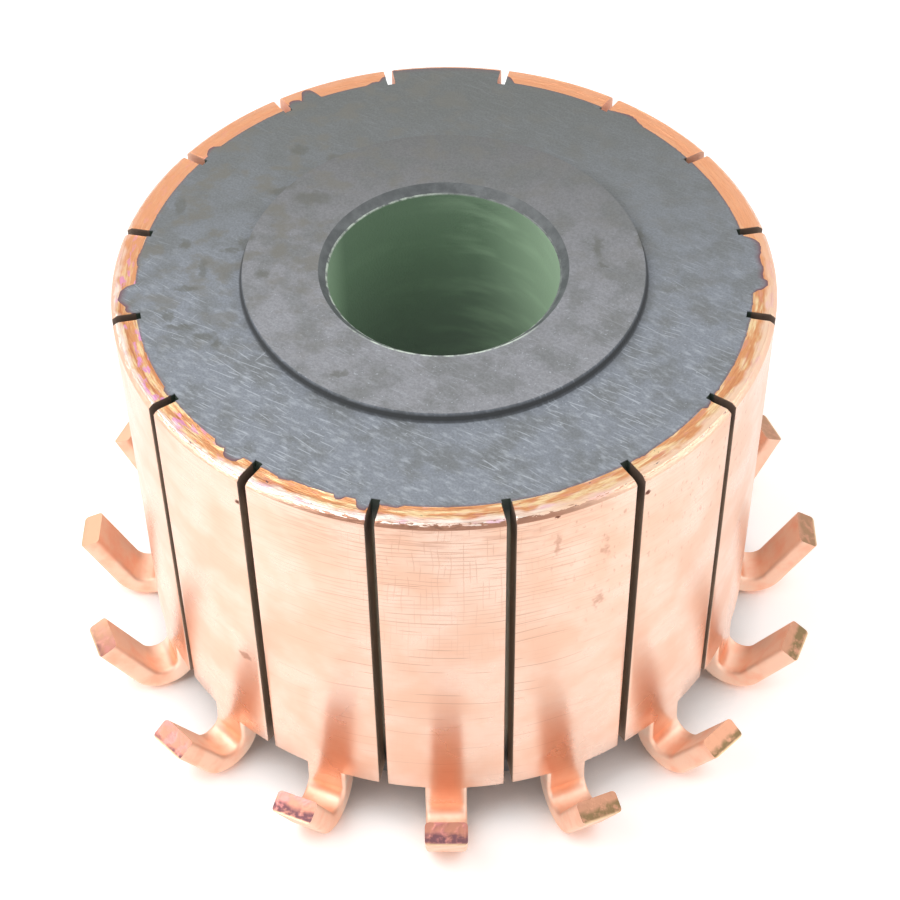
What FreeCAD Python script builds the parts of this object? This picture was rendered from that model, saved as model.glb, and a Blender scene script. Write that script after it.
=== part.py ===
import FreeCAD, Part

import math
import os

import Sketcher

# A hook commutator: sixteen copper bars anchored round a moulded insulating core.
# The frame stands on the collar face under the bars. Its origin is on the bore axis, +Z runs along
# the bore towards the raised ring, and the first bar faces -Y. Every length is in millimetres.

BAR_COUNT = 16
FULL_TURN = 360.0

# Driving sizes, each written once
DRIVING = [
    ("bar_count", BAR_COUNT, "number of copper bars and hooks"),
    ("bar_diameter", 22.8, "turned brush surface of the bars"),
    ("bar_wall", 0.83, "radial thickness of a bar"),
    ("bar_length", 14.45, "from the flat face to the foot of a bar"),
    ("bar_chamfer", 0.15, "turned edge at the top of a bar"),
    ("slot_width", 0.3, "saw slot between two bars"),
    ("slot_overcut", 0.15, "how far the saw goes into the moulding"),
    ("face_height", 16.8, "from the collar face to the flat face"),
    ("bore_diameter", 8.0, "shaft bore"),
    ("bore_chamfer", 0.3, "chamfer at both mouths of the bore"),
    ("ring_diameter", 13.8, "raised ring round the bore"),
    ("ring_height", 0.35, "raised ring above the flat face"),
    ("ring_draft", 0.12, "how much wider in radius the raised ring is at its foot"),
    ("collar_diameter", 19.6, "collar under the bars, at their feet"),
    ("collar_draft", 0.25, "how much smaller in radius the collar is at its face"),
    ("collar_chamfer", 0.3, "edge of the collar face"),
    ("hook_width", 1.5, "width of the tang and its hook"),
    ("hook_thickness", 0.8, "thickness of the tang and its hook"),
    ("hook_drop", 0.95, "straight tang from the foot of the bar to the bend"),
    ("hook_bend_radius", 0.5, "inner radius of the bend"),
    ("hook_rise_angle", 61.0, "rise of the straight tip above the horizontal, in degrees"),
    ("hook_tip_length", 2.55, "straight tip beyond the bend"),
    ("claw_width", 1.6, "width of an anchor claw"),
    ("claw_thickness", 0.8, "thickness of an anchor claw"),
    ("claw_bend_radius", 0.9, "inner radius of the curl of a claw"),
    ("claw_tip_length", 0.9, "straight tip of a claw beyond its curl"),
    ("claw_inset", 1.6, "from the end of a bar to the root of its claw"),
]

# Sizes that follow from the driving ones, as formulas over the sheet's own cells
DERIVED = [
    ("bar_pitch_angle", "=360 / bar_count"),
    ("half_pitch_angle", "=bar_pitch_angle / 2"),
    ("bar_radius", "=bar_diameter / 2"),
    ("seat_radius", "=bar_radius - bar_wall"),
    ("bar_foot", "=face_height - bar_length"),
    ("bar_top_edge_radius", "=bar_radius - bar_chamfer"),
    ("bar_top_edge_height", "=face_height - bar_chamfer"),
    ("slot_floor_radius", "=seat_radius - slot_overcut"),
    ("slot_outer_radius", "=bar_radius + slot_width"),
    ("slot_half_width", "=slot_width / 2"),
    ("bore_radius", "=bore_diameter / 2"),
    ("bore_mouth_radius", "=bore_radius + bore_chamfer"),
    ("core_top", "=face_height + ring_height"),
    ("bore_top_edge", "=core_top - bore_chamfer"),
    ("ring_radius", "=ring_diameter / 2"),
    ("ring_foot_radius", "=ring_radius + ring_draft"),
    ("collar_radius", "=collar_diameter / 2"),
    ("collar_face_radius", "=collar_radius - collar_draft"),
    ("collar_flat_radius", "=collar_face_radius - collar_chamfer"),
    ("hook_inner_face", "=bar_radius - hook_thickness"),
    ("hook_bend_height", "=bar_foot - hook_drop"),
    ("hook_bend_centre", "=bar_radius + hook_bend_radius"),
    ("hook_outer_radius", "=hook_bend_radius + hook_thickness"),
    ("claw_outer_radius", "=claw_bend_radius + claw_thickness"),
    ("claw_root", "=seat_radius + bar_wall / 2"),
    ("claw_back", "=seat_radius - claw_outer_radius"),
    ("claw_front", "=claw_back + claw_thickness"),
    ("upper_claw_root", "=face_height - claw_inset"),
    ("upper_claw_under", "=upper_claw_root - claw_thickness"),
    ("upper_claw_bend", "=upper_claw_root - claw_outer_radius"),
    ("upper_claw_tip", "=upper_claw_bend - claw_tip_length"),
    ("lower_claw_root", "=bar_foot + claw_inset"),
    ("lower_claw_over", "=lower_claw_root + claw_thickness"),
    ("lower_claw_bend", "=lower_claw_root + claw_outer_radius"),
    ("lower_claw_tip", "=lower_claw_bend + claw_tip_length"),
]

doc = FreeCAD.newDocument("commutator")
sheet = doc.addObject("Spreadsheet::Sheet", "sizes")


def fill_sheet():
    """Write the driving sizes as plain numbers and the derived ones as formulas."""
    row = 0
    for name, value, meaning in DRIVING:
        row += 1
        sheet.set(f"A{row}", str(value))
        sheet.setAlias(f"A{row}", name)
        sheet.set(f"B{row}", meaning)
    for name, formula in DERIVED:
        row += 1
        sheet.set(f"A{row}", formula)
        sheet.setAlias(f"A{row}", name)
    doc.recompute()


def size(name):
    """The number that a cell of the sheet holds."""
    return float(getattr(sheet, name))


def origin_part(body, role):
    """One of a body's own origin planes or axes."""
    return next(part for part in body.Origin.OriginFeatures if part.Role == role)


def new_sketch(body, name, role):
    """A sketch attached to one of its body's origin planes."""
    sketch = body.newObject("Sketcher::SketchObject", name)
    sketch.AttachmentSupport = [(origin_part(body, role), "")]
    sketch.MapMode = "FlatFace"
    return sketch


def bind(sketch, kind, *items, cell):
    """A constraint whose value follows a cell of the sheet."""
    value = size(cell)
    if kind == "Angle":
        value = math.radians(value)
    index = sketch.addConstraint(Sketcher.Constraint(kind, *items, value))
    name = f"{cell}_{index}"
    sketch.renameConstraint(index, name)
    sketch.setExpression(f"Constraints.{name}", f"sizes.{cell}")


def place(sketch, shape, point, across, up):
    """Hold one end of a shape at the place that two cells give. An up of None is the base line."""
    bind(sketch, "DistanceX", -1, 1, shape, point, cell=across)
    if up is None:
        sketch.addConstraint(Sketcher.Constraint("PointOnObject", shape, point, -1))
    else:
        bind(sketch, "DistanceY", -1, 1, shape, point, cell=up)


def corner(across, up):
    """The point of a sketch that two cells give."""
    height = 0.0 if up is None else size(up)
    return FreeCAD.Vector(size(across), height, 0)


def outline(sketch, corners):
    """A closed outline of straight lines through corners named by cells."""
    points = [corner(*names) for names in corners]
    lines = []
    for start, end in zip(points, points[1:] + points[:1]):
        lines.append(sketch.addGeometry(Part.LineSegment(start, end), False))
    for line, following in zip(lines, lines[1:] + lines[:1]):
        sketch.addConstraint(Sketcher.Constraint("Coincident", line, 2, following, 1))
    for line, names in zip(lines, corners):
        place(sketch, line, 1, *names)


def revolve(body, name, sketch, cell=None):
    """Turn a profile about the bore axis, all the way round or by a cell's angle about XZ."""
    turned = body.newObject("PartDesign::Revolution", name)
    turned.Profile = sketch
    turned.ReferenceAxis = (sketch, ["V_Axis"])
    turned.Angle = FULL_TURN
    if cell is not None:
        turned.Midplane = True
        turned.setExpression("Angle", f"sizes.{cell}")
    return turned


def pad_both_ways(body, name, sketch, cell):
    """Add a profile as wide as a cell says, evenly on both sides of its plane."""
    added = body.newObject("PartDesign::Pad", name)
    added.Profile = sketch
    added.SideType = "Symmetric"
    added.setExpression("Length", f"sizes.{cell}")
    return added


def pocket_both_ways(body, name, sketch, cell):
    """Cut a profile as wide as a cell says, evenly on both sides of its plane."""
    cut = body.newObject("PartDesign::Pocket", name)
    cut.Profile = sketch
    cut.SideType = "Symmetric"
    cut.setExpression("Length", f"sizes.{cell}")
    return cut


def around_bore(body, name, feature):
    """Repeat a feature once for each bar."""
    pattern = body.newObject("PartDesign::PolarPattern", name)
    pattern.Originals = [feature]
    pattern.Axis = (origin_part(body, "Z_Axis"), [""])
    pattern.Angle = FULL_TURN
    pattern.setExpression("Occurrences", "sizes.bar_count")
    body.Tip = pattern
    return pattern


def saw_sketch(body, name, inner, outer):
    """The saw's cut seen along the bore, turned half a pitch from the bar's middle."""
    sketch = new_sketch(body, name, "XY_Plane")
    sketch.setExpression("AttachmentOffset.Rotation.Angle", "sizes.half_pitch_angle")
    sketch.setExpression("AttachmentOffset.Rotation.Axis.x", "0")
    sketch.setExpression("AttachmentOffset.Rotation.Axis.y", "0")
    sketch.setExpression("AttachmentOffset.Rotation.Axis.z", "1")
    near = size(inner)
    far = size(outer)
    half = size("slot_half_width")
    points = [
        FreeCAD.Vector(near, -half, 0),
        FreeCAD.Vector(far, -half, 0),
        FreeCAD.Vector(far, half, 0),
        FreeCAD.Vector(near, half, 0),
    ]
    bottom, right, top, left = [
        sketch.addGeometry(Part.LineSegment(start, end), False)
        for start, end in zip(points, points[1:] + points[:1])
    ]
    ring = [bottom, right, top, left]
    for line, following in zip(ring, ring[1:] + ring[:1]):
        sketch.addConstraint(Sketcher.Constraint("Coincident", line, 2, following, 1))
    for line in (bottom, top):
        sketch.addConstraint(Sketcher.Constraint("Horizontal", line))
    sketch.addConstraint(Sketcher.Constraint("Vertical", right))
    sketch.addConstraint(Sketcher.Constraint("Symmetric", bottom, 1, left, 1, -1))
    bind(sketch, "DistanceY", bottom, 1, left, 1, cell="slot_width")
    bind(sketch, "DistanceX", -1, 1, bottom, 1, cell=inner)
    bind(sketch, "DistanceX", -1, 1, bottom, 2, cell=outer)
    return sketch


def saw_cut(body, name, sketch):
    """Saw through the whole height, upwards from the collar face."""
    cut = body.newObject("PartDesign::Pocket", name)
    cut.Profile = sketch
    cut.Reversed = True
    cut.setExpression("Length", "sizes.core_top")
    return cut


def claw_sketch(body, name, root, under, bend, tip, upper):
    """A claw seen from the side: out of the bar's back, curled over and on towards mid height."""
    sketch = new_sketch(body, name, "XZ_Plane")
    centre = corner("seat_radius", bend)
    outer = size("claw_outer_radius")
    inner = size("claw_bend_radius")
    quarter = math.pi / 2
    turn = (quarter, 2 * quarter) if upper else (2 * quarter, 3 * quarter)
    z_axis = FreeCAD.Vector(0, 0, 1)
    back_arc = sketch.addGeometry(Part.ArcOfCircle(Part.Circle(centre, z_axis, outer), *turn), False)
    front_arc = sketch.addGeometry(Part.ArcOfCircle(Part.Circle(centre, z_axis, inner), *turn), False)
    root_end, tip_end = (1, 2) if upper else (2, 1)

    def line(start, end):
        return sketch.addGeometry(Part.LineSegment(start, end), False)

    root_line = line(corner("seat_radius", root), corner("claw_root", root))
    end_line = line(corner("claw_root", root), corner("claw_root", under))
    under_line = line(corner("claw_root", under), corner("seat_radius", under))
    back_line = line(corner("claw_back", bend), corner("claw_back", tip))
    tip_line = line(corner("claw_back", tip), corner("claw_front", tip))
    front_line = line(corner("claw_front", tip), corner("claw_front", bend))
    joins = [
        (back_arc, root_end, root_line, 1),
        (root_line, 2, end_line, 1),
        (end_line, 2, under_line, 1),
        (under_line, 2, front_arc, root_end),
        (front_arc, tip_end, front_line, 2),
        (back_arc, tip_end, back_line, 1),
        (back_line, 2, tip_line, 1),
        (tip_line, 2, front_line, 1),
        (back_arc, 3, front_arc, 3),
    ]
    for join in joins:
        sketch.addConstraint(Sketcher.Constraint("Coincident", *join))
    for level in (root_line, under_line, tip_line):
        sketch.addConstraint(Sketcher.Constraint("Horizontal", level))
    for upright in (end_line, back_line, front_line):
        sketch.addConstraint(Sketcher.Constraint("Vertical", upright))
    place(sketch, back_arc, 3, "seat_radius", bend)
    bind(sketch, "Radius", back_arc, cell="claw_outer_radius")
    bind(sketch, "Radius", front_arc, cell="claw_bend_radius")
    sketch.addConstraint(Sketcher.Constraint("Vertical", back_arc, 3, back_arc, root_end))
    sketch.addConstraint(Sketcher.Constraint("Vertical", front_arc, 3, front_arc, root_end))
    sketch.addConstraint(Sketcher.Constraint("Horizontal", back_arc, 3, back_arc, tip_end))
    sketch.addConstraint(Sketcher.Constraint("Horizontal", front_arc, 3, front_arc, tip_end))
    bind(sketch, "DistanceX", -1, 1, end_line, 1, cell="claw_root")
    bind(sketch, "DistanceY", -1, 1, tip_line, 1, cell=tip)
    return sketch


def claw_sketches(body):
    """The upper and the lower claw, which curl towards each other."""
    upper = claw_sketch(
        body,
        f"{body.Name}_upper_claw_profile",
        "upper_claw_root",
        "upper_claw_under",
        "upper_claw_bend",
        "upper_claw_tip",
        upper=True,
    )
    lower = claw_sketch(
        body,
        f"{body.Name}_lower_claw_profile",
        "lower_claw_root",
        "lower_claw_over",
        "lower_claw_bend",
        "lower_claw_tip",
        upper=False,
    )
    return upper, lower


def hook_sketch(body):
    """The tang from the side: down from the bar's foot, round the bend, then up and out to its tip."""
    sketch = new_sketch(body, f"{body.Name}_hook_profile", "XZ_Plane")
    z_axis = FreeCAD.Vector(0, 0, 1)
    centre = corner("hook_bend_centre", "hook_bend_height")
    inner = size("hook_bend_radius")
    outer = size("hook_outer_radius")
    rise = math.radians(size("hook_rise_angle"))
    start = math.pi
    end = 1.5 * math.pi + rise
    inner_arc = sketch.addGeometry(Part.ArcOfCircle(Part.Circle(centre, z_axis, inner), start, end), False)
    outer_arc = sketch.addGeometry(Part.ArcOfCircle(Part.Circle(centre, z_axis, outer), start, end), False)
    along_tip = FreeCAD.Vector(math.cos(rise), math.sin(rise), 0) * size("hook_tip_length")
    inner_bend_end = centre + FreeCAD.Vector(math.cos(end), math.sin(end), 0) * inner
    outer_bend_end = centre + FreeCAD.Vector(math.cos(end), math.sin(end), 0) * outer

    def line(start_point, end_point):
        return sketch.addGeometry(Part.LineSegment(start_point, end_point), False)

    front_line = line(corner("bar_radius", "hook_bend_height"), corner("bar_radius", "bar_foot"))
    root_line = line(corner("bar_radius", "bar_foot"), corner("hook_inner_face", "bar_foot"))
    back_line = line(corner("hook_inner_face", "bar_foot"), corner("hook_inner_face", "hook_bend_height"))
    inner_tip = line(inner_bend_end, inner_bend_end + along_tip)
    end_line = line(inner_bend_end + along_tip, outer_bend_end + along_tip)
    outer_tip = line(outer_bend_end + along_tip, outer_bend_end)
    joins = [
        (inner_arc, 1, front_line, 1),
        (front_line, 2, root_line, 1),
        (root_line, 2, back_line, 1),
        (back_line, 2, outer_arc, 1),
        (outer_tip, 1, end_line, 2),
        (end_line, 1, inner_tip, 2),
        (inner_arc, 3, outer_arc, 3),
    ]
    for join in joins:
        sketch.addConstraint(Sketcher.Constraint("Coincident", *join))
    sketch.addConstraint(Sketcher.Constraint("Tangent", outer_arc, 2, outer_tip, 2))
    sketch.addConstraint(Sketcher.Constraint("Tangent", inner_arc, 2, inner_tip, 1))
    for upright in (front_line, back_line):
        sketch.addConstraint(Sketcher.Constraint("Vertical", upright))
    sketch.addConstraint(Sketcher.Constraint("Horizontal", root_line))
    place(sketch, inner_arc, 3, "hook_bend_centre", "hook_bend_height")
    bind(sketch, "Radius", inner_arc, cell="hook_bend_radius")
    bind(sketch, "Radius", outer_arc, cell="hook_outer_radius")
    sketch.addConstraint(Sketcher.Constraint("Horizontal", inner_arc, 3, inner_arc, 1))
    sketch.addConstraint(Sketcher.Constraint("Horizontal", outer_arc, 3, outer_arc, 1))
    bind(sketch, "DistanceY", -1, 1, root_line, 1, cell="bar_foot")
    sketch.addConstraint(Sketcher.Constraint("Perpendicular", end_line, inner_tip))
    sketch.addConstraint(Sketcher.Constraint("Parallel", outer_tip, inner_tip))
    bind(sketch, "Angle", inner_tip, cell="hook_rise_angle")
    bind(sketch, "Distance", inner_tip, 1, inner_tip, 2, cell="hook_tip_length")
    return sketch


def copper_bar(number):
    """One hooked bar, modelled facing +X and turned to its place round the bore."""
    label = f"copper_bar_{number:02d}"
    body = doc.addObject("PartDesign::Body", label)
    body.Label = label

    # The bar's wall, a slice of the turned ring with its chamfered top edge
    wall = new_sketch(body, f"{label}_wall_profile", "XZ_Plane")
    outline(
        wall,
        [
            ("seat_radius", "bar_foot"),
            ("bar_radius", "bar_foot"),
            ("bar_radius", "bar_top_edge_height"),
            ("bar_top_edge_radius", "face_height"),
            ("seat_radius", "face_height"),
        ],
    )
    revolve(body, f"{label}_wall", wall, cell="bar_pitch_angle")

    # The two anchor claws on its back
    for claw in claw_sketches(body):
        pad_both_ways(body, claw.Name.replace("profile", "solid"), claw, "claw_width")

    # The tang and its hook
    pad_both_ways(body, f"{label}_hook", hook_sketch(body), "hook_width")

    # Half of the saw slot on each side
    saw = saw_sketch(body, f"{label}_saw", "slot_floor_radius", "slot_outer_radius")
    sawn = saw_cut(body, f"{label}_sawn_side", saw)
    other_side = body.newObject("PartDesign::Mirrored", f"{label}_both_sides")
    other_side.Originals = [sawn]
    other_side.MirrorPlane = (origin_part(body, "XZ_Plane"), [""])
    body.Tip = other_side

    # The first bar faces -Y, the others follow anticlockwise seen from above
    body.setExpression("Placement.Rotation.Axis.x", "0")
    body.setExpression("Placement.Rotation.Axis.y", "0")
    body.setExpression("Placement.Rotation.Axis.z", "1")
    body.setExpression("Placement.Rotation.Angle", f"{number - 1} * sizes.bar_pitch_angle - 90")
    return body


def moulded_core():
    """The insulating hub: bore, raised ring, flat face, bar seats, slot floors, claw pockets, collar."""
    body = doc.addObject("PartDesign::Body", "moulded_core")
    body.Label = "moulded_core"
    section = new_sketch(body, "core_section", "XZ_Plane")
    outline(
        section,
        [
            ("bore_mouth_radius", None),
            ("collar_flat_radius", None),
            ("collar_face_radius", "collar_chamfer"),
            ("collar_radius", "bar_foot"),
            ("seat_radius", "bar_foot"),
            ("seat_radius", "face_height"),
            ("ring_foot_radius", "face_height"),
            ("ring_radius", "core_top"),
            ("bore_mouth_radius", "core_top"),
            ("bore_radius", "bore_top_edge"),
            ("bore_radius", "bore_chamfer"),
        ],
    )
    revolve(body, "core_turned", section)

    # The bars are moulded in, so each claw sits in a pocket of its own shape
    for claw in claw_sketches(body):
        pocket = pocket_both_ways(body, claw.Name.replace("profile", "pocket"), claw, "claw_width")
        around_bore(body, claw.Name.replace("profile", "pockets"), pocket)

    # The saw runs a little way into the moulding between the bars
    saw = saw_sketch(body, "core_saw", "slot_floor_radius", "slot_outer_radius")
    around_bore(body, "core_slots", saw_cut(body, "core_slot", saw))

    # The core turns with the bars, so that its pockets face them
    body.setExpression("Placement.Rotation.Axis.x", "0")
    body.setExpression("Placement.Rotation.Axis.y", "0")
    body.setExpression("Placement.Rotation.Axis.z", "1")
    body.setExpression("Placement.Rotation.Angle", "-90")
    return body


def check(nodes):
    """Stop with a plain message if a feature failed, a solid is wrong or a cut took nothing away."""
    for item in doc.Objects:
        if "Invalid" in item.State or "Error" in item.State:
            raise RuntimeError(f"{item.Name} failed: {item.State}")
    for node in nodes:
        shape = node.Shape
        if shape.isNull() or not shape.isValid() or len(shape.Solids) != 1:
            raise RuntimeError(f"{node.Label} isn't one valid solid")
    for node in nodes:
        for feature in node.Group:
            if feature.TypeId == "PartDesign::Pocket":
                if feature.Shape.Volume >= feature.BaseFeature.Shape.Volume:
                    raise RuntimeError(f"{feature.Name} cuts nothing")


fill_sheet()
parts = [copper_bar(number) for number in range(1, BAR_COUNT + 1)]
parts.append(moulded_core())
doc.recompute()
check(parts)
os.makedirs("parts", exist_ok=True)
for part in parts:
    part.Shape.exportStep(f"parts/{part.Label}.step")
    print(part.Label, round(part.Shape.Volume, 3), "cubic mm", len(part.Shape.Faces), "faces")
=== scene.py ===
"""A hook commutator for a small motor, dressed and lit in a pale studio.

Sixteen copper bars with bent winding hooks stand round a moulded phenolic core. Lengths in this
script are millimetres until a mesh or an object is made, where they become metres.
"""

import logging
import math
from dataclasses import dataclass, field
from enum import Enum
from random import Random
from typing import Any, Sequence

import bmesh
import bpy
from mathutils import Matrix, Vector, noise


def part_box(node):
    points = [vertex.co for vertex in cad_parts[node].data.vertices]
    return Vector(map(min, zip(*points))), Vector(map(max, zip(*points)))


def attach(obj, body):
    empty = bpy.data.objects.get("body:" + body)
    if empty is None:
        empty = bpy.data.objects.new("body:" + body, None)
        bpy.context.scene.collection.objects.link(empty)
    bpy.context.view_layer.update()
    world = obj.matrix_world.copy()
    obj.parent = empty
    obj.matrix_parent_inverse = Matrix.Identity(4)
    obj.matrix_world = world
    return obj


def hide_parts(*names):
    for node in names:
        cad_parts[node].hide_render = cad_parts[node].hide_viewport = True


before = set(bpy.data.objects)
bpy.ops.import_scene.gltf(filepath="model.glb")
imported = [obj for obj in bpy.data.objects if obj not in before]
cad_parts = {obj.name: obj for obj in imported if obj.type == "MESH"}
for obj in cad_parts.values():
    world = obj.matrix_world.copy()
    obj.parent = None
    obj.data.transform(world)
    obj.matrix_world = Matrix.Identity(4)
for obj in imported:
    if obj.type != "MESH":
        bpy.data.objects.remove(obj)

Triple = tuple[float, float, float]
Inputs = dict[str | int, Any]
Socket = bpy.types.NodeSocket
Layer = tuple[Socket, Any]

MM = 0.001
TOUCH = 0.01  # Surfaces this near each other, in millimetres, count as level.
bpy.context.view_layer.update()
LOG = logging.getLogger("commutator")


class BarFace(Enum):
    """The kinds of surface on a copper bar, by how each was made."""

    TURNED = 0
    SAWN = 1
    CUT_END = 2
    ROLLED = 3
    SHEARED = 4


class Axis(Enum):
    """The axis that drawn lines cross."""

    X = "X"
    Y = "Y"


@dataclass(frozen=True)
class Sizes:
    """Sizes that the bars and the core share, in millimetres and degrees."""

    bar_count: int = 16
    bar_radius: float = 11.4
    bar_wall: float = 0.83
    bar_length: float = 14.45
    bar_chamfer: float = 0.15
    slot_width: float = 0.3
    slot_overcut: float = 0.15
    bore_radius: float = 4.0
    bore_chamfer: float = 0.3
    ring_radius: float = 6.9
    hook_width: float = 1.5
    hook_thickness: float = 0.8
    hook_drop: float = 0.95
    hook_bend_radius: float = 0.5
    hook_rise: float = 61.0
    hook_tip: float = 2.55
    claw_width: float = 1.6
    claw_thickness: float = 0.8
    claw_bend_radius: float = 0.9
    claw_tip: float = 0.9
    claw_inset: float = 1.6
    face_height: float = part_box("copper_bar_01")[1].z / MM
    core_top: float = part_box("moulded_core")[1].z / MM

    @property
    def foot(self) -> float:
        """Height of the bars' feet."""
        return self.face_height - self.bar_length

    @property
    def seat_radius(self) -> float:
        """Radius at which the bars sit on the core."""
        return self.bar_radius - self.bar_wall

    @property
    def slot_floor(self) -> float:
        """Radius of the bottom of a saw slot."""
        return self.seat_radius - self.slot_overcut

    @property
    def rim(self) -> float:
        """Radius at which the chamfer of the bars' top ends starts."""
        return self.bar_radius - self.bar_chamfer

    @property
    def half_pitch(self) -> float:
        """Half the angle from one bar to the next, in radians."""
        return math.pi / self.bar_count


SIZES = Sizes()


def linear_colour(code: str) -> tuple[float, float, float, float]:
    """Turn an sRGB hex code into a linear colour.

    Args:
        code: the colour as six hex digits after a hash.

    Returns:
        Red, green, blue and a full alpha, each from 0 to 1.
    """
    channels = []
    for start in (1, 3, 5):
        value = int(code[start : start + 2], 16) / 255
        channels.append(value / 12.92 if value <= 0.04045 else ((value + 0.055) / 1.055) ** 2.4)
    return (*channels, 1.0)


def add_node(
    tree: bpy.types.NodeTree, kind: str, inputs: Inputs | None = None, output: int | str = 0, **settings: Any
) -> Socket:
    """Add one node with its settings, values and links.

    Args:
        tree: the node tree to add to.
        kind: the node's type, without the prefix that all shader nodes share.
        inputs: a value, a hex colour or an output socket for each input named or numbered here.
        output: which of the node's outputs is wanted.
        settings: properties of the node itself.

    Returns:
        The wanted output socket.
    """
    node = tree.nodes.new(f"ShaderNode{kind}")
    for name, value in settings.items():
        setattr(node, name, value)
    for key, value in (inputs or {}).items():
        if isinstance(value, Socket):
            tree.links.new(value, node.inputs[key])
        else:
            node.inputs[key].default_value = linear_colour(value) if isinstance(value, str) else value
    return node.outputs[output]


def direction(azimuth: float, elevation: float) -> Vector:
    """The way from the part to a place round it.

    Args:
        azimuth: degrees anticlockwise from the front, seen from above.
        elevation: degrees above the floor.

    Returns:
        A vector of length 1.
    """
    turn, rise = math.radians(azimuth), math.radians(elevation)
    return Vector((math.sin(turn) * math.cos(rise), -math.cos(turn) * math.cos(rise), math.sin(rise)))


@dataclass(frozen=True)
class Mark:
    """One stain or nick that the photograph shows: its middle and its half sizes, in millimetres.

    On the core, x and y are those of the part. On a bar, y is the height, and x runs along the
    width, with 20 mm more for each bar.
    """

    x: float
    y: float
    half_x: float
    half_y: float


@dataclass(frozen=True)
class Ramp:
    """A level that goes from low to high while a quantity goes from start to end."""

    start: float = 0.0
    end: float = 1.0
    low: float = 0.0
    high: float = 1.0

    def of(self, value: Socket) -> Inputs:
        """The inputs that apply this ramp to a value."""
        across = {"Value": value, "From Min": self.start, "From Max": self.end}
        return across | {"To Min": self.low, "To Max": self.high}


@dataclass(frozen=True)
class Patch:
    """Uneven patches with soft edges.

    The size is in millimetres, on all axes or on each, and 0 draws a patch out along its axis. A
    patch starts at the low noise level and is full from the high one, or the other way round for
    the gaps between patches. The detail counts the finer levels that break its edge up.
    """

    size: float | Triple
    low: float
    high: float
    detail: float = 2.0
    full: float = 1.0


@dataclass(frozen=True)
class Hairs:
    """Fine drawn lines that start and stop.

    The pitch is how far apart lines can lie and the run is how long one is, in millimetres. Lines
    show where a noise is above the cover.
    """

    pitch: float
    run: float
    cover: float = 0.5
    full: float = 1.0
    across: Axis = Axis.Y


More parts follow.
